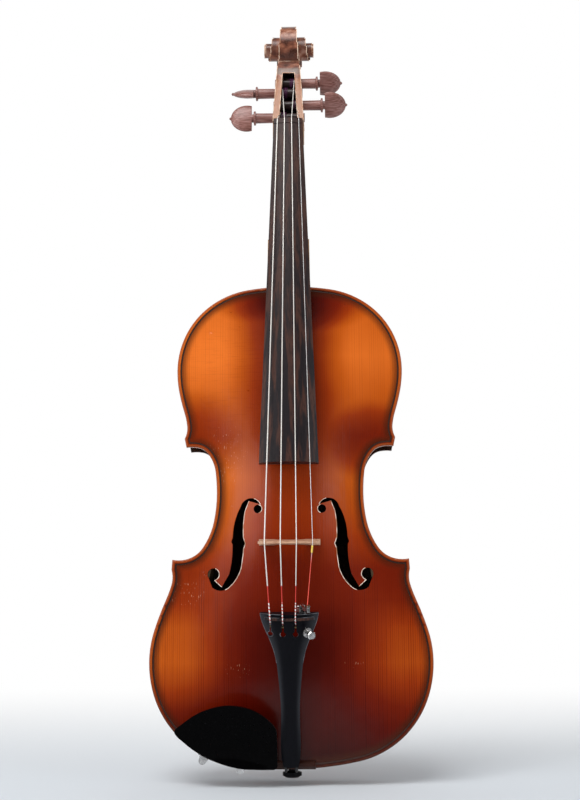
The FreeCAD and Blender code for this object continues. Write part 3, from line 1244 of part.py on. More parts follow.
# Tail cord: from inside the tailpiece, over the saddle, and round the end button's neck.
gut_start = tail_place.multVec(V(strand, gut_inside, gut_height))
gut_leave = tail_place.multVec(V(strand, 0, gut_height))
loop_z = -gut_radius - 3 * size.soft_gap
falling = (gut_leave - gut_start).normalize()
brow_point = gut_leave + falling * ((loop_z - gut_leave.z) / falling.z)
brow_bend_share = 1.4
brow_bend = size.gut_diameter * brow_bend_share
side_edges = rounded_path([gut_start, brow_point, V(strand, 0, loop_z)], [brow_bend])
loop = Part.Arc(V(strand, 0, loop_z), V(0, strand, loop_z), V(-strand, 0, loop_z)).toShape()
other_edges = [mirrored(edge) for edge in reversed(side_edges)]
keep("tailgut", cord("tailgut", side_edges + [loop] + other_edges, gut_radius))
nuts = []
for x in (-strand, strand):
    start = V(x, gut_inside + size.soft_gap, gut_height)
    nuts.append(Part.makeCylinder(gut_nut_radius, size.tail_edge, start, V(0, 1, 0)))
keep("tailgut_nuts", Part.makeCompound(nuts), tail_place)

# Fine tuner in its own frame: a collar and two cheeks under the tailpiece, a lever on a pin, and
# a screw that pushes the lever's long arm down.
cheek_in = size.tuner_lever / 2 + size.tuner_fit * 2
cheek_out = cheek_in + size.tuner_plate
plate_top = -size.tuner_drop
arm_top = plate_top - size.tuner_plate - size.soft_gap * 3
arm_share, hook_share, grip_share = 0.8, 1.6, 0.75
arm_depth = size.tuner_lever * arm_share
pivot_height = arm_top - size.tuner_lever / 2
cheek_low = pivot_height - arm_depth
frame_start = tuner_along - size.tuner_screw
frame_end = tuner_along + size.tuner_screw
collar = Part.makeCylinder(collar_radius, size.tuner_drop + size.tuner_plate + size.tuner_nut_height,
                           V(0, tuner_along, plate_top - size.tuner_plate))
tuner_body = box(V(-cheek_out, frame_start, plate_top - size.tuner_plate), V(cheek_out, frame_end, plate_top))
for side in (-1, 1):
    tuner_body = tuner_body.fuse(box(V(side * cheek_in, frame_start, cheek_low),
                                     V(side * cheek_out, pivot_along + size.tuner_pin, plate_top)))
tuner_body = tuner_body.fuse(collar)
tuner_bore = Part.makeCylinder(size.tuner_screw / 2 + size.tuner_fit, 4 * size.tuner_drop,
                               V(0, tuner_along, -3 * size.tuner_drop))
pin_hole = Part.makeCylinder(size.tuner_pin / 2 + size.soft_gap / 5, 4 * cheek_out,
                             V(-2 * cheek_out, pivot_along, pivot_height), V(1, 0, 0))
keep("tuner_frame", tuner_body.cut(tuner_bore).cut(pin_hole), tuner_place)
pin = Part.makeCylinder(size.tuner_pin / 2, 2 * cheek_out + size.tuner_plate / 2,
                        V(-cheek_out - size.tuner_plate / 4, pivot_along, pivot_height), V(1, 0, 0))
keep("tuner_pin", pin, tuner_place)
half_lever = size.tuner_lever / 2
lever = box(V(-half_lever, tuner_along - size.tuner_screw / 2, arm_top - arm_depth),
            V(half_lever, pivot_along, arm_top))
lever = lever.fuse(Part.makeCylinder(half_lever, size.tuner_lever,
                                     V(-half_lever, pivot_along, pivot_height), V(1, 0, 0)))
hook_top = size.tuner_hook
lever = lever.fuse(box(V(-half_lever, pivot_along - half_lever, pivot_height),
                       V(half_lever, pivot_along + half_lever, hook_top)))
hook = box(V(-half_lever, pivot_along + half_lever, 0),
           V(half_lever, pivot_along + size.tuner_lever * hook_share, hook_top))
hook_room = Part.makeCylinder(size.ball_diameter / 2 + size.soft_gap, 4 * half_lever,
                              V(-2 * half_lever, e_ball_along, size.tuner_hook / 2), V(1, 0, 0))
lever_bore = Part.makeCylinder(size.tuner_pin / 2 + size.tuner_fit, 4 * half_lever,
                               V(-2 * half_lever, pivot_along, pivot_height), V(1, 0, 0))
half_slot = size.string_e / 2 + 3 * size.soft_gap
hook_slot = box(V(-half_slot, e_ball_along, size.tuner_hook / 2 - half_slot),
                V(half_slot, e_ball_along + size.tuner_hook, 2 * hook_top))
lever = lever.fuse(hook).removeSplitter().cut(hook_room).cut(lever_bore).cut(hook_slot)
keep("tuner_lever", lever, tuner_place)
keep("string_e_ball", Part.makeCylinder(size.ball_diameter / 2, size.tuner_lever,
                                        V(-half_lever, e_ball_along, size.tuner_hook / 2), V(1, 0, 0)),
     tuner_place)
nut_ring = Part.makeCylinder(size.tuner_nut / 2, size.tuner_nut_height, V(0, tuner_along, size.soft_gap * 6))
keep("tuner_nut", nut_ring.cut(Part.makeCylinder(collar_radius + size.tuner_fit, 4 * size.tuner_nut_height,
                                                 V(0, tuner_along, -size.tuner_nut_height))), tuner_place)
screw_low = arm_top + size.soft_gap
knob_low = screw_low + size.tuner_screw_length - size.tuner_knob_height * grip_share + size.soft_gap / 2
keep("tuner_screw", Part.makeCylinder(size.tuner_screw / 2, size.tuner_screw_length,
                                      V(0, tuner_along, screw_low)), tuner_place)
turned("tuner_knob", (
    ("Sizes.tuner_screw / 2 + Sizes.tuner_fit", "0"),
    ("Sizes.tuner_knob * 0.42", "0"), ("Sizes.tuner_knob / 2", "Sizes.tuner_knob_height * 0.15"),
    ("Sizes.tuner_knob / 2", "Sizes.tuner_knob_height * 0.8"),
    ("Sizes.tuner_knob * 0.4", "Sizes.tuner_knob_height"),
    ("0", "Sizes.tuner_knob_height"), ("0", "Sizes.tuner_knob_height * 0.75"),
    ("Sizes.tuner_screw / 2 + Sizes.tuner_fit", "Sizes.tuner_knob_height * 0.75")),
    tuner_place.multiply(FreeCAD.Placement(V(0, tuner_along, knob_low), FreeCAD.Rotation())))

# Chin rest: a hollowed ebony plate beside the tailpiece.  Its outline starts at the lower right
# corner; the shares are of its width, away from the tailpiece, and of its height.
REST_SHARES = (
    (0.0, 0.08, 90), (0.0, 0.56, 91), (0.107, 0.81, 141), (0.464, 1.0, 180), (0.714, 0.918, 201),
    (0.915, 0.729, 218), (0.985, 0.645, 224), (0.99, 0.57, 300), (0.9, 0.42, 316), (0.74, 0.232, 329),
    (0.567, 0.112, 341), (0.38, 0.037, 351), (0.177, 0.019, 358), (0.04, 0.02, 361), (0.0, 0.08, 450))


def rest_surface(lower):
    """Everything in front of the chin rest's hollowed face, lowered by a thickness."""
    columns, rows = 21, 17
    grid = []
    for i in range(columns):
        across = 1.2 * i / (columns - 1) - 0.1
        line = []
        for j in range(rows):
            up = 1.4 * j / (rows - 1) - 0.25
            climb = 0.5 - 0.5 * math.cos(math.pi * min(max(up, 0), 1))
            bowl = math.sin(math.pi * min(max(across, 0), 1)) * math.sin(math.pi * min(max(up, 0), 1))
            forward = size.rest_low + (size.rest_rim - size.rest_low) * climb - size.rest_dish * bowl - lower
            line.append(at(-size.rest_start - across * size.rest_width, forward, up * size.rest_height))
        grid.append(line)
    surface = Part.BSplineSurface()
    surface.interpolate(grid)
    return surface.toShape().extrude(V(0, -3 * size.rest_rim, 0))


rest_places = [((-size.rest_start - across * size.rest_width, up * size.rest_height), angle)
               for across, up, angle in REST_SHARES]
rest_arcs = []
for (start, leaving), (end, arriving) in zip(rest_places, rest_places[1:]):
    rest_arcs += biarc(start, leaving, end, arriving)
rest_face = Part.Face(Part.Wire([edge_of(item, 1, -half_ribs) for item in rest_arcs]))
rest_solid = rest_face.extrude(V(0, -2 * size.rest_rim, 0))
face_room, under_room = rest_surface(0), rest_surface(size.rest_thickness)

# The clamp's own frame: its X runs along the body's edge and its Z points into the body.
edge_arc = next(item for item in half_outline(0)[::-1]
                if item[0] != "cut" and item[2][0] <= size.clamp_centre <= item[1][0])
(cx, cz), arc_start = edge_arc[0], edge_arc[1]
edge_radius = math.hypot(arc_start[0] - cx, arc_start[1] - cz)
edge_z = cz - math.sqrt(edge_radius ** 2 - (size.clamp_centre - cx) ** 2)
inward_angle = math.degrees(math.atan2(size.clamp_centre - cx, cz - edge_z))
clamp_place = FreeCAD.Placement(V(-size.clamp_centre, 0, edge_z),
                                FreeCAD.Rotation(V(0, 1, 0), inward_angle))
half_clamp = size.clamp_width / 2
edge_face = half_ribs + size.edge_thickness + size.soft_gap
cork_face = edge_face + size.cork_thickness
metal_in = cork_face + size.glue_line
metal_out = metal_in + size.clamp_plate
rest_foot = box(V(-half_clamp, -metal_out - size.glue_line, 0),
                V(half_clamp, -half_ribs - size.rest_rim, size.clamp_reach))
rest_foot.Placement = clamp_place
rest_foot = rest_foot.common(rest_solid)
keep("chinrest_plate", rest_solid.common(under_room).fuse(rest_foot).cut(face_room))
for label, side in (("chinrest_cork", -1), ("clamp_cork", 1)):
    pad = box(V(-half_clamp, side * edge_face, size.edge_round),
              V(half_clamp, side * cork_face, size.clamp_reach))
    keep(label, pad, clamp_place)
rod_share = 0.14
rod_inner = size.barrel_length * rod_share
half_tab = size.barrel_diameter / 2
for label, side in (("clamp_bracket", -1), ("clamp_foot", 1)):
    metal = box(V(-half_clamp, side * metal_in, size.edge_round),
                V(half_clamp, side * metal_out, size.clamp_reach))
    for x in (-size.barrel_spread / 2, size.barrel_spread / 2):
        metal = metal.fuse(box(V(x - half_tab, side * metal_in, -size.clamp_offset),
                               V(x + half_tab, side * metal_out, 2 * size.edge_round)))
        metal = metal.fuse(Part.makeCylinder(half_tab, size.clamp_plate,
                                             V(x, side * metal_in, -size.clamp_offset), V(0, side, 0)))
        metal = metal.fuse(Part.makeCylinder(size.clamp_rod / 2, metal_in - rod_inner + size.clamp_plate / 2,
                                             V(x, side * rod_inner, -size.clamp_offset), V(0, side, 0)))
    keep(label, metal, clamp_place)
for label, x in (("clamp_barrel_outer", "-"), ("clamp_barrel_inner", "")):
    sign = -1 if x else 1
    turned(label, (
        ("Sizes.clamp_rod / 2 + Sizes.clamp_fit", "0"), ("Sizes.barrel_diameter * 0.4", "0"),
        ("Sizes.barrel_diameter / 2", "Sizes.barrel_length * 0.06"),
        ("Sizes.barrel_diameter / 2", "Sizes.barrel_length * 0.94"),
        ("Sizes.barrel_diameter * 0.4", "Sizes.barrel_length"),
        ("Sizes.clamp_rod / 2 + Sizes.clamp_fit", "Sizes.barrel_length")),
        clamp_place.multiply(FreeCAD.Placement(
            V(sign * size.barrel_spread / 2, size.barrel_length / 2, -size.clamp_offset),
            FreeCAD.Rotation(V(1, 0, 0), 90))))
doc.recompute()

failed = [item.Name for item in doc.Objects if {"Invalid", "Error"} & set(item.State)]
if failed:
    raise SystemExit(f"failed features: {failed}")
for piece in pieces:
    shape = piece.Shape
    if shape.isNull() or not shape.isValid() or not shape.Solids:
        raise SystemExit(f"{piece.Label} has no valid solid")
for piece in pieces:
    piece.Shape.exportStep(os.path.join("parts", piece.Label + ".step"))
    print(piece.Label, "solids", len(piece.Shape.Solids), "volume", round(piece.Shape.Volume, 1))
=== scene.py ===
import json
import math
import bpy
from mathutils import Matrix, Vector, kdtree

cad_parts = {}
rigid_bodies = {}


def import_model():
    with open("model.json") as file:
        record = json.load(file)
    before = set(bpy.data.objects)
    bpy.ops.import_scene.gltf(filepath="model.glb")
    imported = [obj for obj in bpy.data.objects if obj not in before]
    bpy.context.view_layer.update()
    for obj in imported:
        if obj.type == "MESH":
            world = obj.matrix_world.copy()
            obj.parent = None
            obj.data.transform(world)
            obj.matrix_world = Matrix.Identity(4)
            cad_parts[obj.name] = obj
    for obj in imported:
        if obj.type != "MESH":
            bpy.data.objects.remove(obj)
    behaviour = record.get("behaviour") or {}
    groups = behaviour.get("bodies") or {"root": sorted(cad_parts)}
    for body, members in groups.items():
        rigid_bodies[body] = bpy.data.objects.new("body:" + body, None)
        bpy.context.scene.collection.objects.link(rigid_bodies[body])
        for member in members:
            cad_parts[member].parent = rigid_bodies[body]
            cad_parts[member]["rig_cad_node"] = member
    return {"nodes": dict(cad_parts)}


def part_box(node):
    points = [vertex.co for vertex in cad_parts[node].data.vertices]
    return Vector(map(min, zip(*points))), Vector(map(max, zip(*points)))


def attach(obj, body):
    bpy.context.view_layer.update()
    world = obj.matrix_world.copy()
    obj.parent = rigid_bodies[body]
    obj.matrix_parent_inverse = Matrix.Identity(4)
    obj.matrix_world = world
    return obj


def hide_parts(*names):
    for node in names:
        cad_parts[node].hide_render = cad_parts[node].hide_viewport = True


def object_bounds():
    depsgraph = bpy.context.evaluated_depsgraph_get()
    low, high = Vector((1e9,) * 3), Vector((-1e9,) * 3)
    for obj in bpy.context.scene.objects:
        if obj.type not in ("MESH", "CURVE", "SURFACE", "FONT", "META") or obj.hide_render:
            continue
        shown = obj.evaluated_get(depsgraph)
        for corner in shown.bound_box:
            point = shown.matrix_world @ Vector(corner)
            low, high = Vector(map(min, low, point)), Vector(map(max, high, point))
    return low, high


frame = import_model()
cad_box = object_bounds()
nodes = frame["nodes"]

# The view: the violin stands upright and is seen from 1 m in front, from a little under
# the bridge, with a portrait lens tipped up until the scroll is in the picture.
view_place, view_tip, view_roll, view_turn = (0.0302, -1.006, 0.1222), 8.36, -0.31, 1.73
bpy.ops.object.camera_add(location=view_place)
camera = bpy.context.object
camera.data.lens = 60.27
camera.data.sensor_width = 36
camera.data.clip_start = 0.05
camera.matrix_world = (Matrix.Translation(view_place) @ Matrix.Rotation(math.radians(view_turn), 4, "Z")
                       @ Matrix.Rotation(math.radians(90 + view_tip), 4, "X")
                       @ Matrix.Rotation(math.radians(view_roll), 4, "Z"))
bpy.context.scene.camera = camera
bpy.context.scene.view_settings.view_transform = "Standard"


# Front plate: two book-matched halves of carved spruce under a red-brown spirit varnish that is
# worn to gold over the outer bouts and dark under the strings.  It is glued on to the ribs.
class Shade:
    """A value inside a finish; arithmetic on it adds the node that works it out."""

    def __init__(self, finish, socket):
        self.finish, self.socket = finish, socket

    def worked(self, operation, first, second=0.0):
        return self.finish.node("ShaderNodeMath", {"operation": operation}, {0: first, 1: second})

    def __add__(self, other):
        return self.worked("ADD", self, other)

    def __radd__(self, other):
        return self.worked("ADD", other, self)

    def __sub__(self, other):
        return self.worked("SUBTRACT", self, other)

    def __rsub__(self, other):
        return self.worked("SUBTRACT", other, self)

    def __mul__(self, other):
        return self.worked("MULTIPLY", self, other)

    def __rmul__(self, other):
        return self.worked("MULTIPLY", other, self)

    def __truediv__(self, other):
        return self.worked("DIVIDE", self, other)

    def __abs__(self):
        return self.worked("ABSOLUTE", self)

    def sine(self):
        return self.worked("SINE", self)

    def rise(self, low, high):
        """Grows softly from 0 at the low value to 1 at the high one."""
        return self.finish.node("ShaderNodeMapRange", {"interpolation_type": "SMOOTHSTEP"},
                                {"Value": self, "From Min": low, "From Max": high})


class Finish:
    """A finish for pieces: a surface shader with its own nodes, laid out in the violin's own frame."""

    def __init__(self, name, **constants):
        self.material = bpy.data.materials.new(name)
        self.material.use_nodes = True
        self.tree = self.material.node_tree
        self.shader = self.tree.nodes["Principled BSDF"]
        for socket, value in constants.items():
            self.shader.inputs[socket.replace("_", " ")].default_value = value
        self.place = self.node("ShaderNodeTexCoord", {}, {}, "Object")
        parts = self.node("ShaderNodeSeparateXYZ", {}, {0: self.place}).socket.node
        self.x, self.y, self.z = (Shade(self, parts.outputs[axis]) for axis in "XYZ")
        facing = Shade(self, self.place.socket.node.outputs["Normal"])
        parts = self.node("ShaderNodeSeparateXYZ", {}, {0: facing}).socket.node
        self.faces_x, self.faces_y, self.faces_z = (Shade(self, parts.outputs[axis]) for axis in "XYZ")

    def node(self, kind, settings, inputs, output=0):
        made = self.tree.nodes.new(kind)
        for name, value in settings.items():
            if name == "stops":
                while len(made.color_ramp.elements) < len(value):
                    made.color_ramp.elements.new(0.5)
                for element, (place, colour) in zip(made.color_ramp.elements, value):
                    element.position, element.color = place, (*colour, 1)
            else:
                setattr(made, name, value)
        for name, value in inputs.items():
            if isinstance(value, Shade):
                self.tree.links.new(value.socket, made.inputs[name])
            else:
                made.inputs[name].default_value = value
        return Shade(self, made.outputs[output])

    def grain(self, stretch, detail=3.0, roughness=0.5, warp=0.0):
        """Soft noise of so many lumps per metre along each axis."""
        laid = self.node("ShaderNodeMapping", {}, {"Vector": self.place, "Scale": stretch})
        return self.node("ShaderNodeTexNoise", {},
                         {"Vector": laid, "Scale": 1.0, "Detail": detail, "Roughness": roughness,
                          "Distortion": warp})

    def ramp(self, share, *stops):
        return self.node("ShaderNodeValToRGB", {"stops": stops}, {0: share})

    def mix(self, share, first, second, way="MIX"):
        """The second colour laid over the first, by a share."""
        first, second = (c if isinstance(c, Shade) else (*c, 1) for c in (first, second))
        return self.node("ShaderNodeMix", {"data_type": "RGBA", "blend_type": way},
                         {0: share, 6: first, 7: second}, 2)

    def spot(self, x, z, width, height):
        """A soft patch on the front: 1 at its middle, 0 past its half width and half height."""
        across, along = (self.x - x) / width, (self.z - z) / height
        return (across * across + along * along).rise(1.0, 0.0)

    def bump(self, height, depth, strength=1.0):
        made = self.node("ShaderNodeBump", {}, {"Height": height, "Distance": depth, "Strength": strength})
        self.give(Normal=made)

    def give(self, **links):
        for socket, value in links.items():
            self.tree.links.new(value.socket, self.shader.inputs[socket.replace("_", " ")])

    def on(self, *pieces):
        """Puts the finish on pieces, or on the solids of these names."""
        for piece in pieces:
            mesh = nodes[piece].data if isinstance(piece, str) else piece.data
            mesh.materials.clear()
            mesh.materials.append(self.material)


def take_up(piece):
    """Makes one piece the only thing selected, ready to be worked on."""
    if bpy.context.object and bpy.context.object.mode == "EDIT":
        bpy.ops.object.mode_set(mode="OBJECT")
    bpy.ops.object.select_all(action="DESELECT")
    piece.select_set(True)
    bpy.context.view_layer.objects.active = piece


def dressed(name, body="violin", crease=32):
    """A copy of a solid with its triangles joined and its curves smooth; it stands for the solid."""
    piece = nodes[name].copy()
    piece.data = nodes[name].data.copy()
    piece.name = name + "_smooth"
    if "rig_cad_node" in piece:
        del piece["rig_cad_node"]
    bpy.context.collection.objects.link(piece)
    take_up(piece)
    bpy.ops.mesh.customdata_custom_splitnormals_clear()
    bpy.ops.object.mode_set(mode="EDIT")
    bpy.ops.mesh.select_all(action="SELECT")
    bpy.ops.mesh.remove_doubles(threshold=0.000004)
    bpy.ops.mesh.normals_make_consistent()
    bpy.ops.object.mode_set(mode="OBJECT")
    bpy.ops.object.shade_smooth_by_angle(angle=math.radians(crease))
    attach(piece, body)
    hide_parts(name)
    return piece


def edge_facings(mesh):
    """For each edge of a mesh: its middle, and which ways the two faces beside it look."""
    beside = {}
    for face in mesh.polygons:
        for key in face.edge_keys:
            beside.setdefault(key, []).append(face.normal)
    return [((mesh.vertices[edge.vertices[0]].co + mesh.vertices[edge.vertices[1]].co) / 2,
             beside.get(edge.key, [])) for edge in mesh.edges]


def edge_line(source, name, body, wanted, thickness):
    """A thin line along the wanted edges of a piece, for worn edges and for painted highlights."""
    line = source.copy()
    line.data = source.data.copy()
    line.name = name
    bpy.context.collection.objects.link(line)
    line.parent = None
    line.matrix_world = Matrix.Identity(4)
    take_up(line)
    unwanted = [not (len(faces) == 2 and wanted(middle, *faces)) for middle, faces in edge_facings(line.data)]
    bpy.ops.object.mode_set(mode="EDIT")
    bpy.ops.mesh.select_mode(type="EDGE")
    bpy.ops.mesh.select_all(action="SELECT")
    bpy.ops.mesh.delete(type="ONLY_FACE")
    bpy.ops.mesh.select_all(action="DESELECT")
    bpy.ops.object.mode_set(mode="OBJECT")
    line.data.edges.foreach_set("select", unwanted)
    bpy.ops.object.mode_set(mode="EDIT")
    bpy.ops.mesh.delete(type="EDGE")
    bpy.ops.mesh.select_all(action="SELECT")
    bpy.ops.mesh.delete_loose(use_edges=False)
    bpy.ops.object.mode_set(mode="OBJECT")
    bpy.ops.object.convert(target="CURVE")
    line = bpy.context.object
    line.data.bevel_depth, line.data.bevel_resolution, line.data.use_fill_caps = thickness, 1, True
    bpy.ops.object.convert(target="MESH")
    line = bpy.context.object
    bpy.ops.object.shade_smooth()
    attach(line, body)
    return line


front = Finish("front_varnish", Roughness=0.22, Specular_IOR_Level=0.24)
front_plate = dressed("top_plate")
take_up(front_plate)
shape = front_plate.data
for turn in range(2):
    long_edges = []
    for edge in shape.edges:
        ends = [shape.vertices[i].co for i in edge.vertices]
        long_edges.append(max(end.y for end in ends) < -0.0158 and (ends[0] - ends[1]).length > 0.0026)
    bpy.ops.object.mode_set(mode="EDIT")
    bpy.ops.mesh.select_mode(type="EDGE")
    bpy.ops.mesh.select_all(action="DESELECT")
    bpy.ops.object.mode_set(mode="OBJECT")
    shape.edges.foreach_set("select", long_edges)
    bpy.ops.object.mode_set(mode="EDIT")
    bpy.ops.mesh.subdivide(number_cuts=1)
    bpy.ops.mesh.select_all(action="SELECT")
    bpy.ops.mesh.quads_convert_to_tris()
    bpy.ops.object.mode_set(mode="OBJECT")
inlaid = [Vector((vertex.co.x, 0, vertex.co.z)) for vertex in nodes["front_purfling"].data.vertices]
near_inlay = kdtree.KDTree(len(inlaid))
for number, point in enumerate(inlaid):
    near_inlay.insert(point, number)
near_inlay.balance()
anywhere = kdtree.KDTree(len(shape.vertices))
for number, vertex in enumerate(shape.vertices):
    anywhere.insert(Vector((vertex.co.x, 0, vertex.co.z)), number)
anywhere.balance()
rim_points = []
for middle, faces in edge_facings(shape):
    flat = Vector((middle.x, 0, middle.z))
    inlay_point, number, gap = near_inlay.find(flat)
    if 0.0012 < gap < 0.0035 and any(abs(face.y) < 0.5 for face in faces):
        beyond = flat + (flat - inlay_point) * (0.0028 / gap)
        if anywhere.find(beyond)[2] > 0.0016:
            rim_points.append(flat)
near_rim = kdtree.KDTree(len(rim_points))
for number, point in enumerate(rim_points):
    near_rim.insert(point, number)
near_rim.balance()
from_rim = shape.attributes.new("from_rim", "FLOAT", "POINT")
from_rim.data.foreach_set("value", [near_rim.find(Vector((vertex.co.x, 0, vertex.co.z)))[2]
                                    for vertex in shape.vertices])

# The varnish is darkest under the tailpiece and the strings and thin over the outer bouts.  These
# two rows of steps, from the tail to the neck, give its depth at the middle and how much it lightens.
BARE_TAN, GOLD, AMBER, RED_BROWN, DARK_RED, SHADOW_RED, BLACK_RED = (
    (0.75, 0.4, 0.24), (0.70, 0.15, 0.016), (0.456, 0.078, 0.0037), (0.275, 0.0284, 0.0012),
    (0.156, 0.0097, 0.0006), (0.0865, 0.0033, 0.0003), (0.022, 0.0012, 0.0001))
along = front.z / 0.36
middle_depth = front.ramp(along, *((place / 0.36, (level, level, level)) for place, level in (
    (0.005, 0.0), (0.03, 0.12), (0.06, 0.23), (0.1, 0.25), (0.122, 0.42), (0.142, 0.47), (0.17, 0.58),
    (0.21, 0.62), (0.27, 0.48), (0.3, 0.52), (0.34, 0.42))))
side_gain = front.ramp(along, *((place / 0.36, (level, level, level)) for place, level in (
    (0.01, 0.2), (0.03, 0.24), (0.05, 0.4), (0.075, 0.57), (0.1, 0.5), (0.12, 0.17), (0.14, 0.06),
    (0.21, 0.28), (0.24, 0.22), (0.27, 0.4), (0.3, 0.48))))
aside = abs(front.x)
reach = aside / (0.052 + front.z.rise(0.16, 0.1) * 0.03)
cloud = front.grain((16, 16, 9), 3.0, 0.55)
depth = (middle_depth + side_gain * reach.rise(0.22, 1.0) - front.x.rise(0.01, 0.07) * 0.09
         - front.spot(0.06, 0.235, 0.035, 0.035) * 0.26 - front.spot(-0.07, 0.24, 0.04, 0.04) * 0.2
         - front.spot(0.02, 0.345, 0.05, 0.028) * 0.3 - front.spot(-0.03, 0.345, 0.035, 0.02) * 0.2
         + (cloud - 0.5) * 0.22)
varnish = front.ramp(depth, (0.0, BLACK_RED), (0.25, SHADOW_RED), (0.45, DARK_RED), (0.62, RED_BROWN),
                     (0.8, AMBER), (1.0, GOLD))
wander = front.grain((70, 1, 1.6), 2.0, 0.5)
strength = front.grain((420, 1, 4), 2.0, 0.6)
year_width = 0.0015
year_wave = ((front.x + wander * 0.004) * (2 * math.pi / year_width)).sine()
year_lines = year_wave.rise(0.1, 0.95) * strength.rise(0.3, 0.65)
lower_bouts = front.z.rise(0.15, 0.11) * aside.rise(0.02, 0.05)
varnish = front.mix(year_lines * (0.2 + lower_bouts * 0.45), varnish, (0.34, 0.22, 0.12), "MULTIPLY")
silk_figure = front.grain((60, 1, 1100), 2.0, 0.5).rise(0.5, 0.72) * front.spot(-0.045, 0.28, 0.045, 0.06)
varnish = front.mix(silk_figure * 0.22, varnish, (0.4, 0.16, 0.05), "MULTIPLY")
from_edge = front.node("ShaderNodeAttribute", {"attribute_name": "from_rim"}, {}, "Fac")
# Partly dirt and pooled varnish, partly painted shade: a dark band just inside the purfling stands for the
# shade of the edge channel.
soot_and_channel_shade = from_edge.rise(0.0095, 0.0035) * from_edge.rise(0.0014, 0.0026)
varnish = front.mix(soot_and_channel_shade * (0.45 + cloud * 0.5), varnish, (0.045, 0.01, 0.003))
rim_brown = front.mix(front.z.rise(0.1, 0.01) * 0.9, (0.3, 0.062, 0.012), (0.05, 0.011, 0.005))
varnish = front.mix(from_edge.rise(0.0022, 0.0008) * 0.8, varnish, rim_brown)
nicks = (front.grain((1500, 1, 330), 1.0, 0.4).rise(0.66, 0.74)
         * (front.spot(-0.046, 0.226, 0.018, 0.03) + front.spot(-0.038, 0.07, 0.012, 0.006)
            + front.spot(-0.075, 0.125, 0.016, 0.012) + front.spot(0.045, 0.075, 0.01, 0.004)))
varnish = front.mix(nicks * 0.55, varnish, BARE_TAN)
# Painted shade: the f-hole walls and the plate's underside near them are painted near black, as the dark
# inside the body.
hole_painted_shade = front.faces_y.rise(-0.45, -0.2) * aside.rise(0.066, 0.06) * from_edge.rise(0.006, 0.008)
varnish = front.mix(hole_painted_shade, varnish, (0.012, 0.006, 0.004))
front.give(Base_Color=varnish, Roughness=0.17 + cloud * 0.1)
front.bump(year_lines * 0.6 + strength * 0.3, 0.00008, 0.35)
front.on(front_plate)
# Partly worn bare wood, partly painted highlight: a pale line along the f-hole edges on the side towards the
# middle.
arris = Finish("hole_edge_wear_and_highlight", Roughness=0.5)
arris_wear_and_highlight = arris.grain((700, 700, 160)).rise(0.35, 0.6)
arris.give(Base_Color=arris.mix(arris_wear_and_highlight, (0.42, 0.2, 0.09), (0.95, 0.82, 0.7)))
arris.on(edge_line(front_plate, "f_hole_arris", "violin",
                   lambda middle, one, two: 0.012 < abs(middle.x) < 0.062 and 0.1 < middle.z < 0.21
                   and near_inlay.find(Vector((middle.x, 0, middle.z)))[2] > 0.006
                   and min(one.y, two.y) < -0.6 and abs(max(one.y, two.y)) < 0.4
                   and math.copysign(1, middle.x) * (one.x if one.y > two.y else two.x) > 0.3, 0.00027))
inlay = Finish("dark_inlay", Roughness=0.4)
inlay.give(Base_Color=inlay.mix(inlay.grain((300, 300, 300)), (0.02, 0.006, 0.003), (0.05, 0.014, 0.006)))
front_inlay = dressed("front_purfling")
front_inlay.data.transform(Matrix.Translation((0, -0.00012, 0)))
inlay.on(front_inlay, "back_purfling")

# Back and ribs: flamed maple under the same varnish, bare inside, where the back is painted near black
# as shade.  The ribs are bent strips, and the back is carved from one slab; its flame runs across the violin.
back = Finish("back_varnish", Roughness=0.22)
wander = back.grain((18, 18, 6), 3.0, 0.5)
flame = back.grain((8, 8, 150), 2.0, 0.45, 0.25).rise(0.36, 0.66)
flame = back.mix(flame * 0.8, (0.23, 0.04, 0.005), (0.42, 0.105, 0.016))
back_aside = abs(back.x) / 0.1
flame = back.mix(back_aside.rise(0.2, 1.0) * 0.4, flame, (0.5, 0.3, 0.2), "MULTIPLY")
flame = back.mix(wander.rise(0.45, 0.75) * 0.5, flame, (0.11, 0.014, 0.002))
# Painted shade: the inside face of the back is painted near black.
inside_painted_shade = back.faces_y.rise(0.1, -0.3) * back.y.rise(0.0292, 0.0288)
pith_lines = back.grain((900, 900, 22), 2.0).rise(0.55, 0.75)
flame = back.mix(pith_lines * 0.3, flame, (0.1, 0.014, 0.002))
back.give(Base_Color=back.mix(inside_painted_shade, flame, (0.02, 0.008, 0.004)), Roughness=0.17 + wander * 0.12)
back.bump(back.grain((900, 900, 60), 2.0), 0.00005, 0.3)
back.on(dressed("back_plate"))
ribs = Finish("rib_varnish", Roughness=0.25)
curl = ribs.grain((110, 9, 110), 2.0, 0.5)
rib_cloud = ribs.grain((30, 30, 30), 2.0)
rib_colour = ribs.ramp(curl, (0.3, (0.09, 0.014, 0.002)), (0.5, (0.22, 0.045, 0.006)),
                       (0.68, (0.4, 0.11, 0.02)))
ribs.give(Base_Color=ribs.mix(rib_cloud.rise(0.4, 0.7) * 0.5, rib_colour, (0.08, 0.012, 0.002)),
          Roughness=0.18 + curl * 0.15)
ribs.on(*[dressed(name) for name in list(nodes) if "_rib_" in name])

# Blocks, linings, bass bar and sound post: bare spruce inside the body, darkened with age.  All are
# glued in but the post, which stands wedged between front and back.
bare = Finish("bare_spruce", Roughness=0.75)
bare_lines = bare.grain((500, 60, 8), 2.0)
bare.give(Base_Color=bare.mix(bare_lines, (0.2, 0.12, 0.06), (0.3, 0.2, 0.11)))
bare.on("end_block", "neck_block", "front_linings", "back_linings", "bass_bar", "sound_post",
        *[name for name in nodes if "corner_block" in name])

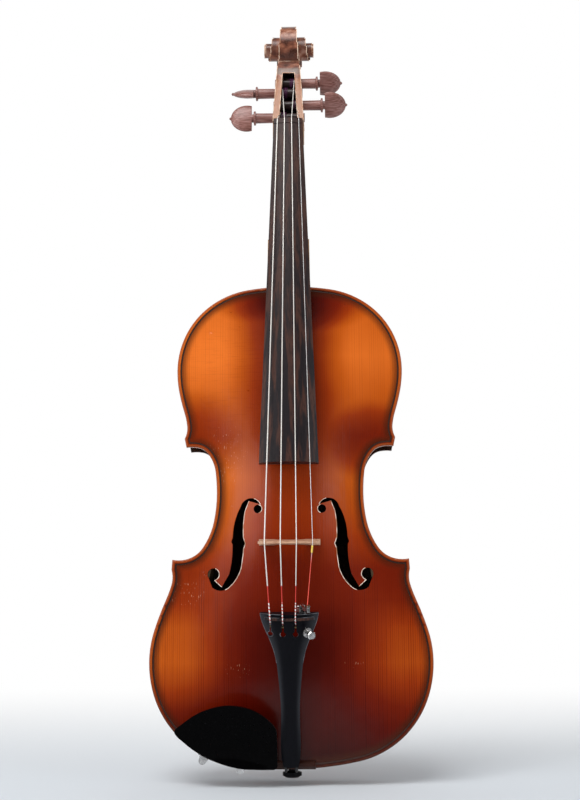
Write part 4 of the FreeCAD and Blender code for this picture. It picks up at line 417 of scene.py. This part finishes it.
# Neck and scroll: one piece of maple, varnished on the head and oiled on the shaft.  The edges of
# the volute and the pegbox are chamfered, and their varnish is rubbed through.
neck = Finish("neck_maple", Roughness=0.3)
neck_curl = neck.grain((120, 40, 120), 2.0)
neck_cloud = neck.grain((120, 120, 150), 3.0)
head_share = neck.z.rise(0.46, 0.5)
oiled = neck.mix(neck_curl, (0.4, 0.2, 0.075), (0.58, 0.34, 0.15))
headed = neck.ramp(neck_cloud, (0.36, (0.06, 0.02, 0.012)), (0.47, (0.16, 0.05, 0.028)),
                   (0.56, (0.27, 0.1, 0.055)), (0.68, (0.46, 0.24, 0.17)))
# Painted shade: the upper parts of the volute's side lobes are darker.
lobe_painted_shade = abs(neck.x).rise(0.0088, 0.0102) * neck.z.rise(0.548, 0.557)
headed = neck.mix(lobe_painted_shade * 0.7, headed, (0.08, 0.03, 0.022))
# Painted sheen: pale grey on the front faces of the scroll's top and of a narrow band below the throat.
scroll_painted_sheen = neck.z.rise(0.5685, 0.5735) + neck.z.rise(0.5365, 0.5345) * neck.z.rise(0.5285, 0.5305)
headed = neck.mix(scroll_painted_sheen * neck.faces_y.rise(-0.1, -0.5) * 0.75, headed, (0.2, 0.15, 0.125))
# Painted shade: a dark patch in the throat under the volute.
throat_painted_shade = neck.spot(0, 0.5435, 0.011, 0.0065)
headed = neck.mix(throat_painted_shade * 0.75, headed, (0.1, 0.045, 0.035))
tan_cheeks = neck.z.rise(0.5285, 0.524) * (0.55 + neck_curl * 0.4)
headed = neck.mix(tan_cheeks, headed, (0.36, 0.145, 0.06))
headed = neck.mix(neck.grain((420, 420, 90), 2.0).rise(0.55, 0.75) * 0.35, headed, (0.12, 0.04, 0.02))
# Painted shade: the walls and floor of the pegbox are painted near black.
pegbox_painted_shade = abs(neck.x).rise(0.0092, 0.0082) * neck.z.rise(0.484, 0.487) * neck.z.rise(0.5335, 0.531)
pegbox_painted_shade = (pegbox_painted_shade * neck.faces_y.rise(-0.9, -0.6)
          + pegbox_painted_shade * neck.y.rise(-0.001, 0.004) * neck.z.rise(0.533, 0.529))
pegbox_painted_shade = pegbox_painted_shade * neck.faces_y.rise(0.5, 0.3)
neck.give(Base_Color=neck.mix(pegbox_painted_shade.rise(0.0, 0.8), neck.mix(head_share, oiled, headed),
                              (0.012, 0.007, 0.009)),
          Roughness=0.2 + neck_cloud * 0.2)
neck.bump(neck_curl, 0.00006, 0.3)
neck_piece = dressed("neck_scroll")
neck.on(neck_piece)
volute_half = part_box("neck_scroll")[1][0]
eye_points = [vertex.co for vertex in neck_piece.data.vertices if vertex.co.x > volute_half - 0.0002]
volute_eye = sum(eye_points, Vector()) / len(eye_points)


def around_eye(middle, one, two):
    """True for an edge of the head unless it is a small step that runs out from the volute's eye."""
    outward = Vector((0, middle.y - volute_eye.y, middle.z - volute_eye.z))
    wall = one if abs(one.x) < abs(two.x) else two
    return outward.length > 0.0215 or abs(middle.x) < 0.005 or abs(wall.dot(outward.normalized())) > 0.6


rubbed = Finish("rubbed_maple", Roughness=0.35)
rub = rubbed.grain((240, 240, 240)).rise(0.35, 0.65)
rubbed.give(Base_Color=rubbed.mix(rub, (0.5, 0.24, 0.13), (0.9, 0.68, 0.52)))
rubbed.on(edge_line(neck_piece, "head_arris", "violin",
                    lambda middle, one, two: middle.z > 0.486 and one.angle(two) > 0.75
                    and (min(one.y, two.y) < 0.25 or middle.z > 0.54)
                    and around_eye(middle, one, two), 0.00028))

# Fingerboard, nut and the tailpiece's fret: ebony, the top worn smooth, with a painted grey sheen on the
# sides.  The board and the nut are glued to the neck, the fret into the tailpiece.
ebony = Finish("ebony_board", Roughness=0.3, Specular_IOR_Level=0.2)
pores = ebony.grain((1500, 1500, 14), 2.0)
streak = ebony.grain((260, 260, 3), 2.0)
black_brown = ebony.mix(streak.rise(0.42, 0.62) * 0.75, (0.016, 0.012, 0.014), (0.075, 0.03, 0.02))
black_brown = ebony.mix(ebony.z.rise(0.3, 0.46) * 0.35, black_brown, (0.085, 0.05, 0.042))
black_brown = ebony.mix(pores.rise(0.5, 0.66) * 0.5, black_brown, (0.006, 0.005, 0.006))
# Painted sheen: the sides of the board and the nut are painted bluish grey.
side_painted_sheen = abs(ebony.faces_x).rise(0.45, 0.8) * ebony.z.rise(0.2, 0.22)
ebony.give(Base_Color=ebony.mix(side_painted_sheen * 0.9, black_brown, (0.085, 0.095, 0.11)), Roughness=0.28 + pores * 0.2)
ebony.bump(pores, 0.00005, 0.4)
ebony.on(dressed("fingerboard", crease=25), dressed("nut"), dressed("tailpiece_fret"))

# Tailpiece, saddle and end button: blackened hardwood with a satin polish, the tailpiece's shoulders
# rounded, with a painted grey sheen on their sides and a painted highlight on their edges.  The saddle
# is let into the front and the button sits in the end block.
satin = Finish("satin_black", Roughness=0.3, Specular_IOR_Level=0.08)
satin_pores = satin.grain((1200, 1200, 20), 2.0)
satin_colour = satin.mix(satin_pores, (0.0015, 0.0016, 0.0028), (0.005, 0.005, 0.0075))
# Painted sheen: the sloping sides of the tailpiece are painted grey.
shoulder_painted_sheen = abs(satin.faces_x).rise(0.25, 0.75) * satin.faces_y.rise(0.0, -0.25) * satin.z.rise(0.0, 0.05)
satin_colour = satin.mix(shoulder_painted_sheen * 0.7, satin_colour, (0.085, 0.088, 0.1))
red_hole = satin.z.rise(0.0855, 0.087) * satin.z.rise(0.094, 0.0925) * satin.faces_y.rise(-0.5, -0.2)
red_hole = red_hole * satin.y.rise(-0.0545, -0.052)
satin.give(Base_Color=satin.mix(red_hole * 0.8, satin_colour, (0.1, 0.008, 0.004)),
           Roughness=0.24 + satin_pores * 0.16)
satin.bump(satin_pores, 0.00004, 0.3)
tail = dressed("tailpiece", crease=28)
satin.on(tail, dressed("end_button"))
touched = Finish("varnished_saddle", Roughness=0.3, Specular_IOR_Level=0.2)
touched_lines = touched.grain((300, 900, 900))
touched.give(Base_Color=touched.mix(touched_lines, (0.018, 0.005, 0.003), (0.04, 0.011, 0.006)))
touched.on(dressed("saddle"))
# Painted highlight: a grey line along the tailpiece's front edges.
tail_highlight = Finish("tailpiece_highlight", Roughness=0.4)
shine = tail_highlight.grain((160, 160, 160)).rise(0.3, 0.7)
tail_highlight.give(Base_Color=tail_highlight.mix(shine, (0.02, 0.022, 0.028), (0.16, 0.17, 0.19)))
tail_highlight.on(edge_line(tail, "tailpiece_arris", "violin",
                      lambda middle, one, two: one.angle(two) > 0.55 and min(one.y, two.y) < -0.35
                      and middle.z > 0.075 and abs(middle.x) > 0.006, 0.0002))

# Pegs: turned from rosewood and left satin, four alike in shape.  They taper, and friction holds
# them in the pegbox.
rosewood = Finish("peg_rosewood", Roughness=0.33)
peg_lines = rosewood.grain((110, 1900, 1900), 2.0)
peg_cloud = rosewood.grain((160, 160, 160), 2.0)
peg_colour = rosewood.ramp(peg_lines, (0.3, (0.12, 0.04, 0.03)), (0.5, (0.24, 0.1, 0.082)),
                           (0.72, (0.38, 0.21, 0.185)))
peg_colour = rosewood.mix(peg_cloud.rise(0.5, 0.75) * 0.4, peg_colour, (0.15, 0.06, 0.045))
# Painted shade: the pegs are painted near black where they lie inside the pegbox.
peg_painted_shade = abs(rosewood.x).rise(0.0095, 0.0075)
rosewood.give(Base_Color=rosewood.mix(peg_painted_shade * 0.92, peg_colour, (0.015, 0.008, 0.008)),
              Roughness=0.25 + peg_lines * 0.2)
rosewood.bump(peg_lines, 0.00004, 0.4)
rosewood.on(*[dressed("peg_" + string, "peg_" + string) for string in "geda"])

# Bridge: bare quarter-sawn maple, thinner at the top.  It stands on the front, held there by the
# strings alone.
bridge_maple = Finish("bridge_maple", Roughness=0.55)
bridge_flecks = bridge_maple.grain((260, 900, 1500), 2.0)
bridge_tone = bridge_maple.grain((60, 300, 300), 2.0)
bridge_colour = bridge_maple.mix(bridge_flecks.rise(0.4, 0.7), (0.38, 0.19, 0.11), (0.56, 0.33, 0.2))
bridge_colour = bridge_maple.mix(bridge_tone.rise(0.4, 0.7) * 0.4, bridge_colour, (0.62, 0.4, 0.27))
bridge_maple.give(Base_Color=bridge_colour)
bridge_maple.bump(bridge_flecks, 0.00006, 0.4)
bridge_maple.on(dressed("bridge", crease=25))

# Strings: wound metal over the board; near the tailpiece three are wrapped in red silk, then in red
# and white turns.  The E is plain steel, tinted red behind the bridge.
wound = Finish("string_metal", Metallic=0.35, Roughness=0.3)
turns = wound.grain((50, 50, 2600))
metal = wound.mix(turns, (0.82, 0.78, 0.72), (1.0, 0.96, 0.9))
silk_start = wound.z.rise(0.1305, 0.1293)
spiral = ((wound.z + wound.x * 0.35) * (2 * math.pi / 0.0024)).sine().rise(0.3, 0.6)
spiral = 1 - (1 - spiral) * wound.z.rise(0.1185, 0.1175)
silk_colour = wound.mix(spiral, (0.85, 0.78, 0.76), (0.55, 0.028, 0.016))
metal = wound.mix(silk_start, metal, silk_colour)
wound.give(Base_Color=metal, Metallic=0.35 * (1 - silk_start), Roughness=0.28 + silk_start * 0.4)
wound.bump(turns, 0.00003, 0.4)
wound.on(*[dressed("string_" + string, crease=50) for string in "gda"])
steel = Finish("string_steel", Metallic=0.35, Roughness=0.25)
draw_lines = steel.grain((900, 900, 30))
tinted = steel.z.rise(0.1585, 0.145)
bright = steel.mix(draw_lines, (0.72, 0.71, 0.7), (0.95, 0.94, 0.93))
steel.give(Base_Color=steel.mix(tinted * 0.95, bright, (0.8, 0.045, 0.012)), Metallic=0.35 * (1 - tinted),
           Roughness=0.22 + draw_lines * 0.1)
e_string = dressed("string_e", crease=50)
steel.on(e_string)
wrapped = [0.112 < vertex.co.z < 0.157 for vertex in e_string.data.vertices]
bpy.ops.object.mode_set(mode="EDIT")
bpy.ops.mesh.select_mode(type="VERT")
bpy.ops.mesh.select_all(action="DESELECT")
bpy.ops.object.mode_set(mode="OBJECT")
e_string.data.vertices.foreach_set("select", wrapped)
bpy.ops.object.mode_set(mode="EDIT")
bpy.ops.transform.shrink_fatten(value=0.00018)
bpy.ops.object.mode_set(mode="OBJECT")

# String turns on the pegs: the ends of the strings, whipped with purple silk, wound on each peg and
# turning with it.
silk = Finish("string_silk", Roughness=0.6)
silk_turns = silk.grain((1800, 300, 300), 2.0)
silk.give(Base_Color=silk.mix(silk_turns, (0.04, 0.007, 0.04), (0.17, 0.03, 0.12)))
silk.bump(silk_turns, 0.00008, 0.5)
silk.on("winding_g", "winding_d", "winding_a", "winding_e")

# Sleeve, string ends and tail cord: a yellow plastic tube on the E string at the bridge, brass balls
# in the tailpiece and on the tuner's hook, and a black nylon cord round the end button, held by
# brass nuts inside the tailpiece.
sleeve = Finish("sleeve_plastic", Roughness=0.4)
sleeve.give(Base_Color=sleeve.mix(sleeve.grain((900, 900, 900)), (0.75, 0.5, 0.05), (0.85, 0.62, 0.12)))
sleeve.on(dressed("string_sleeve"))
brass = Finish("ball_brass", Metallic=1.0, Roughness=0.3)
brass.give(Base_Color=brass.mix(brass.grain((900, 900, 900)), (0.18, 0.12, 0.06), (0.34, 0.24, 0.12)))
brass.on(dressed("string_balls"), dressed("string_e_ball", "tuner_lever"), dressed("tailgut_nuts"))
nylon = Finish("tail_cord", Roughness=0.45)
nylon.give(Base_Color=nylon.mix(nylon.grain((900, 900, 900)), (0.01, 0.01, 0.011), (0.03, 0.03, 0.032)))
nylon.on(dressed("tailgut", crease=50))

# Fine tuner and chin-rest clamp: nickel-plated metal, slightly tarnished in patches.  A round
# nut holds the tuner to the tailpiece; two threaded barrels draw the clamp's foot to the back.
nickel = Finish("nickel_plate", Metallic=1.0, Roughness=0.2)
tarnish = nickel.grain((500, 500, 500), 3.0)
plating = nickel.ramp(tarnish, (0.3, (0.5, 0.48, 0.46)), (0.55, (0.82, 0.81, 0.8)),
                      (0.75, (0.93, 0.92, 0.91)))
nickel.give(Base_Color=plating, Roughness=0.12 + tarnish * 0.22)
nickel.bump(tarnish, 0.00002, 0.3)
nickel.on(*[dressed(name) for name in ("tuner_frame", "tuner_nut", "tuner_pin", "clamp_bracket")],
          dressed("tuner_lever", "tuner_lever"), dressed("tuner_knob", "tuner_knob"),
          dressed("tuner_screw", "tuner_screw"), dressed("clamp_foot", "clamp_foot"),
          dressed("clamp_barrel_outer", "barrel_outer"), dressed("clamp_barrel_inner", "barrel_inner"))

# Chin rest: a cupped plate of polished ebony over the bass side, on a pad of cork.  A second pad
# lies between the clamp's foot and the back.
polished = Finish("polished_ebony", Roughness=0.12, Specular_IOR_Level=0.03)
polish = polished.grain((700, 700, 24), 2.0)
rest_black = polished.mix(polish, (0.0004, 0.0004, 0.0005), (0.0018, 0.0016, 0.0018))
# Painted highlight: a grey line down the right-hand side of the rest.
rest_painted_highlight = polished.faces_x.rise(0.45, 0.9) * polished.faces_y.rise(0.1, -0.1)
polished.give(Base_Color=polished.mix(rest_painted_highlight * 0.8, rest_black, (0.05, 0.05, 0.048)),
              Roughness=0.09 + polish * 0.08)
polished.on(dressed("chinrest_plate", crease=40))
cork = Finish("cork", Roughness=0.85)
cork_grains = cork.grain((500, 500, 500), 4.0)
cork.give(Base_Color=cork.ramp(cork_grains, (0.35, (0.2, 0.1, 0.045)), (0.6, (0.5, 0.31, 0.17))))
cork.bump(cork_grains, 0.0002, 0.5)
cork.on("chinrest_cork", "clamp_cork")

# Room: a pale table that sweeps up into a white wall, a large soft lamp high in front, a weak one
# at each side, and a dim even room light.  The front of the room reflects dark, as behind a camera.
bpy.ops.object.select_all(action="DESELECT")
bpy.ops.mesh.primitive_plane_add(size=1, location=(0, 0, 0))
floor = bpy.context.object
floor.name = "floor"
floor.data.transform(Matrix.Translation((0, 0, cad_box[0][2] - 0.004)) @ Matrix.Diagonal((8, 3.6, 1, 1)))
bpy.ops.object.mode_set(mode="EDIT")
bpy.ops.mesh.select_mode(type="EDGE")
bpy.ops.mesh.select_all(action="DESELECT")
bpy.ops.object.mode_set(mode="OBJECT")
for edge in floor.data.edges:
    edge.select = all(floor.data.vertices[i].co.y > 1 for i in edge.vertices)
bpy.ops.object.mode_set(mode="EDIT")
bpy.ops.mesh.extrude_region_move(TRANSFORM_OT_translate={"value": (0, 0, 4)})
bpy.ops.mesh.select_all(action="DESELECT")
bpy.ops.object.mode_set(mode="OBJECT")
for edge in floor.data.edges:
    ends = [floor.data.vertices[i].co for i in edge.vertices]
    edge.select = all(end.y > 1 and end.z < 1 for end in ends)
bpy.ops.object.mode_set(mode="EDIT")
bpy.ops.mesh.bevel(offset=0.6, segments=12, affect="EDGES")
bpy.ops.object.mode_set(mode="OBJECT")
bpy.ops.object.shade_smooth()
paper = Finish("floor_paper", Roughness=0.9)
far = paper.y.rise(-0.1, 1.1)
paper.give(Base_Color=paper.mix(far, (0.66, 0.7, 0.74), (0.9, 0.92, 0.94)))
ray = paper.node("ShaderNodeLightPath", {}, {})
seen = ray.worked("MAXIMUM", ray, Shade(paper, ray.socket.node.outputs["Is Glossy Ray"]))
glow = paper.node("ShaderNodeEmission", {}, {"Color": (1, 1, 1, 1), "Strength": 1.0})
matt = Shade(paper, paper.shader.outputs[0])
both = paper.node("ShaderNodeMixShader", {}, {0: seen * far, 1: matt, 2: glow})
dark_cloth = paper.node("ShaderNodeEmission", {}, {"Color": (1, 1, 1, 1), "Strength": 0.03})
near_front = Shade(paper, ray.socket.node.outputs["Is Glossy Ray"]) * paper.y.rise(-0.2, -0.215)
both = paper.node("ShaderNodeMixShader", {}, {0: near_front, 1: both, 2: dark_cloth})
output = paper.tree.nodes["Material Output"]
paper.tree.links.new(both.socket, output.inputs["Surface"])
floor.data.materials.append(paper.material)

lamps = (("high_lamp", (-0.5, -1.2, 2.0), 1.3, 35),
         ("left_lamp", (-1.25, -1.05, 0.45), 0.9, 8),
         ("right_lamp", (1.3, -1.0, 0.4), 0.8, 6))
for name, place, size, power in lamps:
    bpy.ops.object.light_add(type="AREA", location=place)
    lamp = bpy.context.object
    lamp.name = name
    lamp.data.size, lamp.data.energy = size, power
    lamp.rotation_euler = (Vector((0, 0, 0.25)) - Vector(place)).to_track_quat("-Z", "Y").to_euler()
world = bpy.data.worlds.new("room")
bpy.context.scene.world = world
world.use_nodes = True
world.cycles.sampling_method = "NONE"
tree = world.node_tree
path = tree.nodes.new("ShaderNodeLightPath")
level, dark_front = (tree.nodes.new("ShaderNodeMapRange") for count in range(2))
dark_front.inputs["To Min"].default_value, dark_front.inputs["To Max"].default_value = 0.42, 0.05
tree.links.new(path.outputs["Is Glossy Ray"], dark_front.inputs["Value"])
tree.links.new(path.outputs["Is Camera Ray"], level.inputs["Value"])
tree.links.new(dark_front.outputs[0], level.inputs["To Min"])
tree.links.new(level.outputs[0], tree.nodes["Background"].inputs["Strength"])
tree.nodes["Background"].inputs["Color"].default_value = (1, 1, 1, 1)
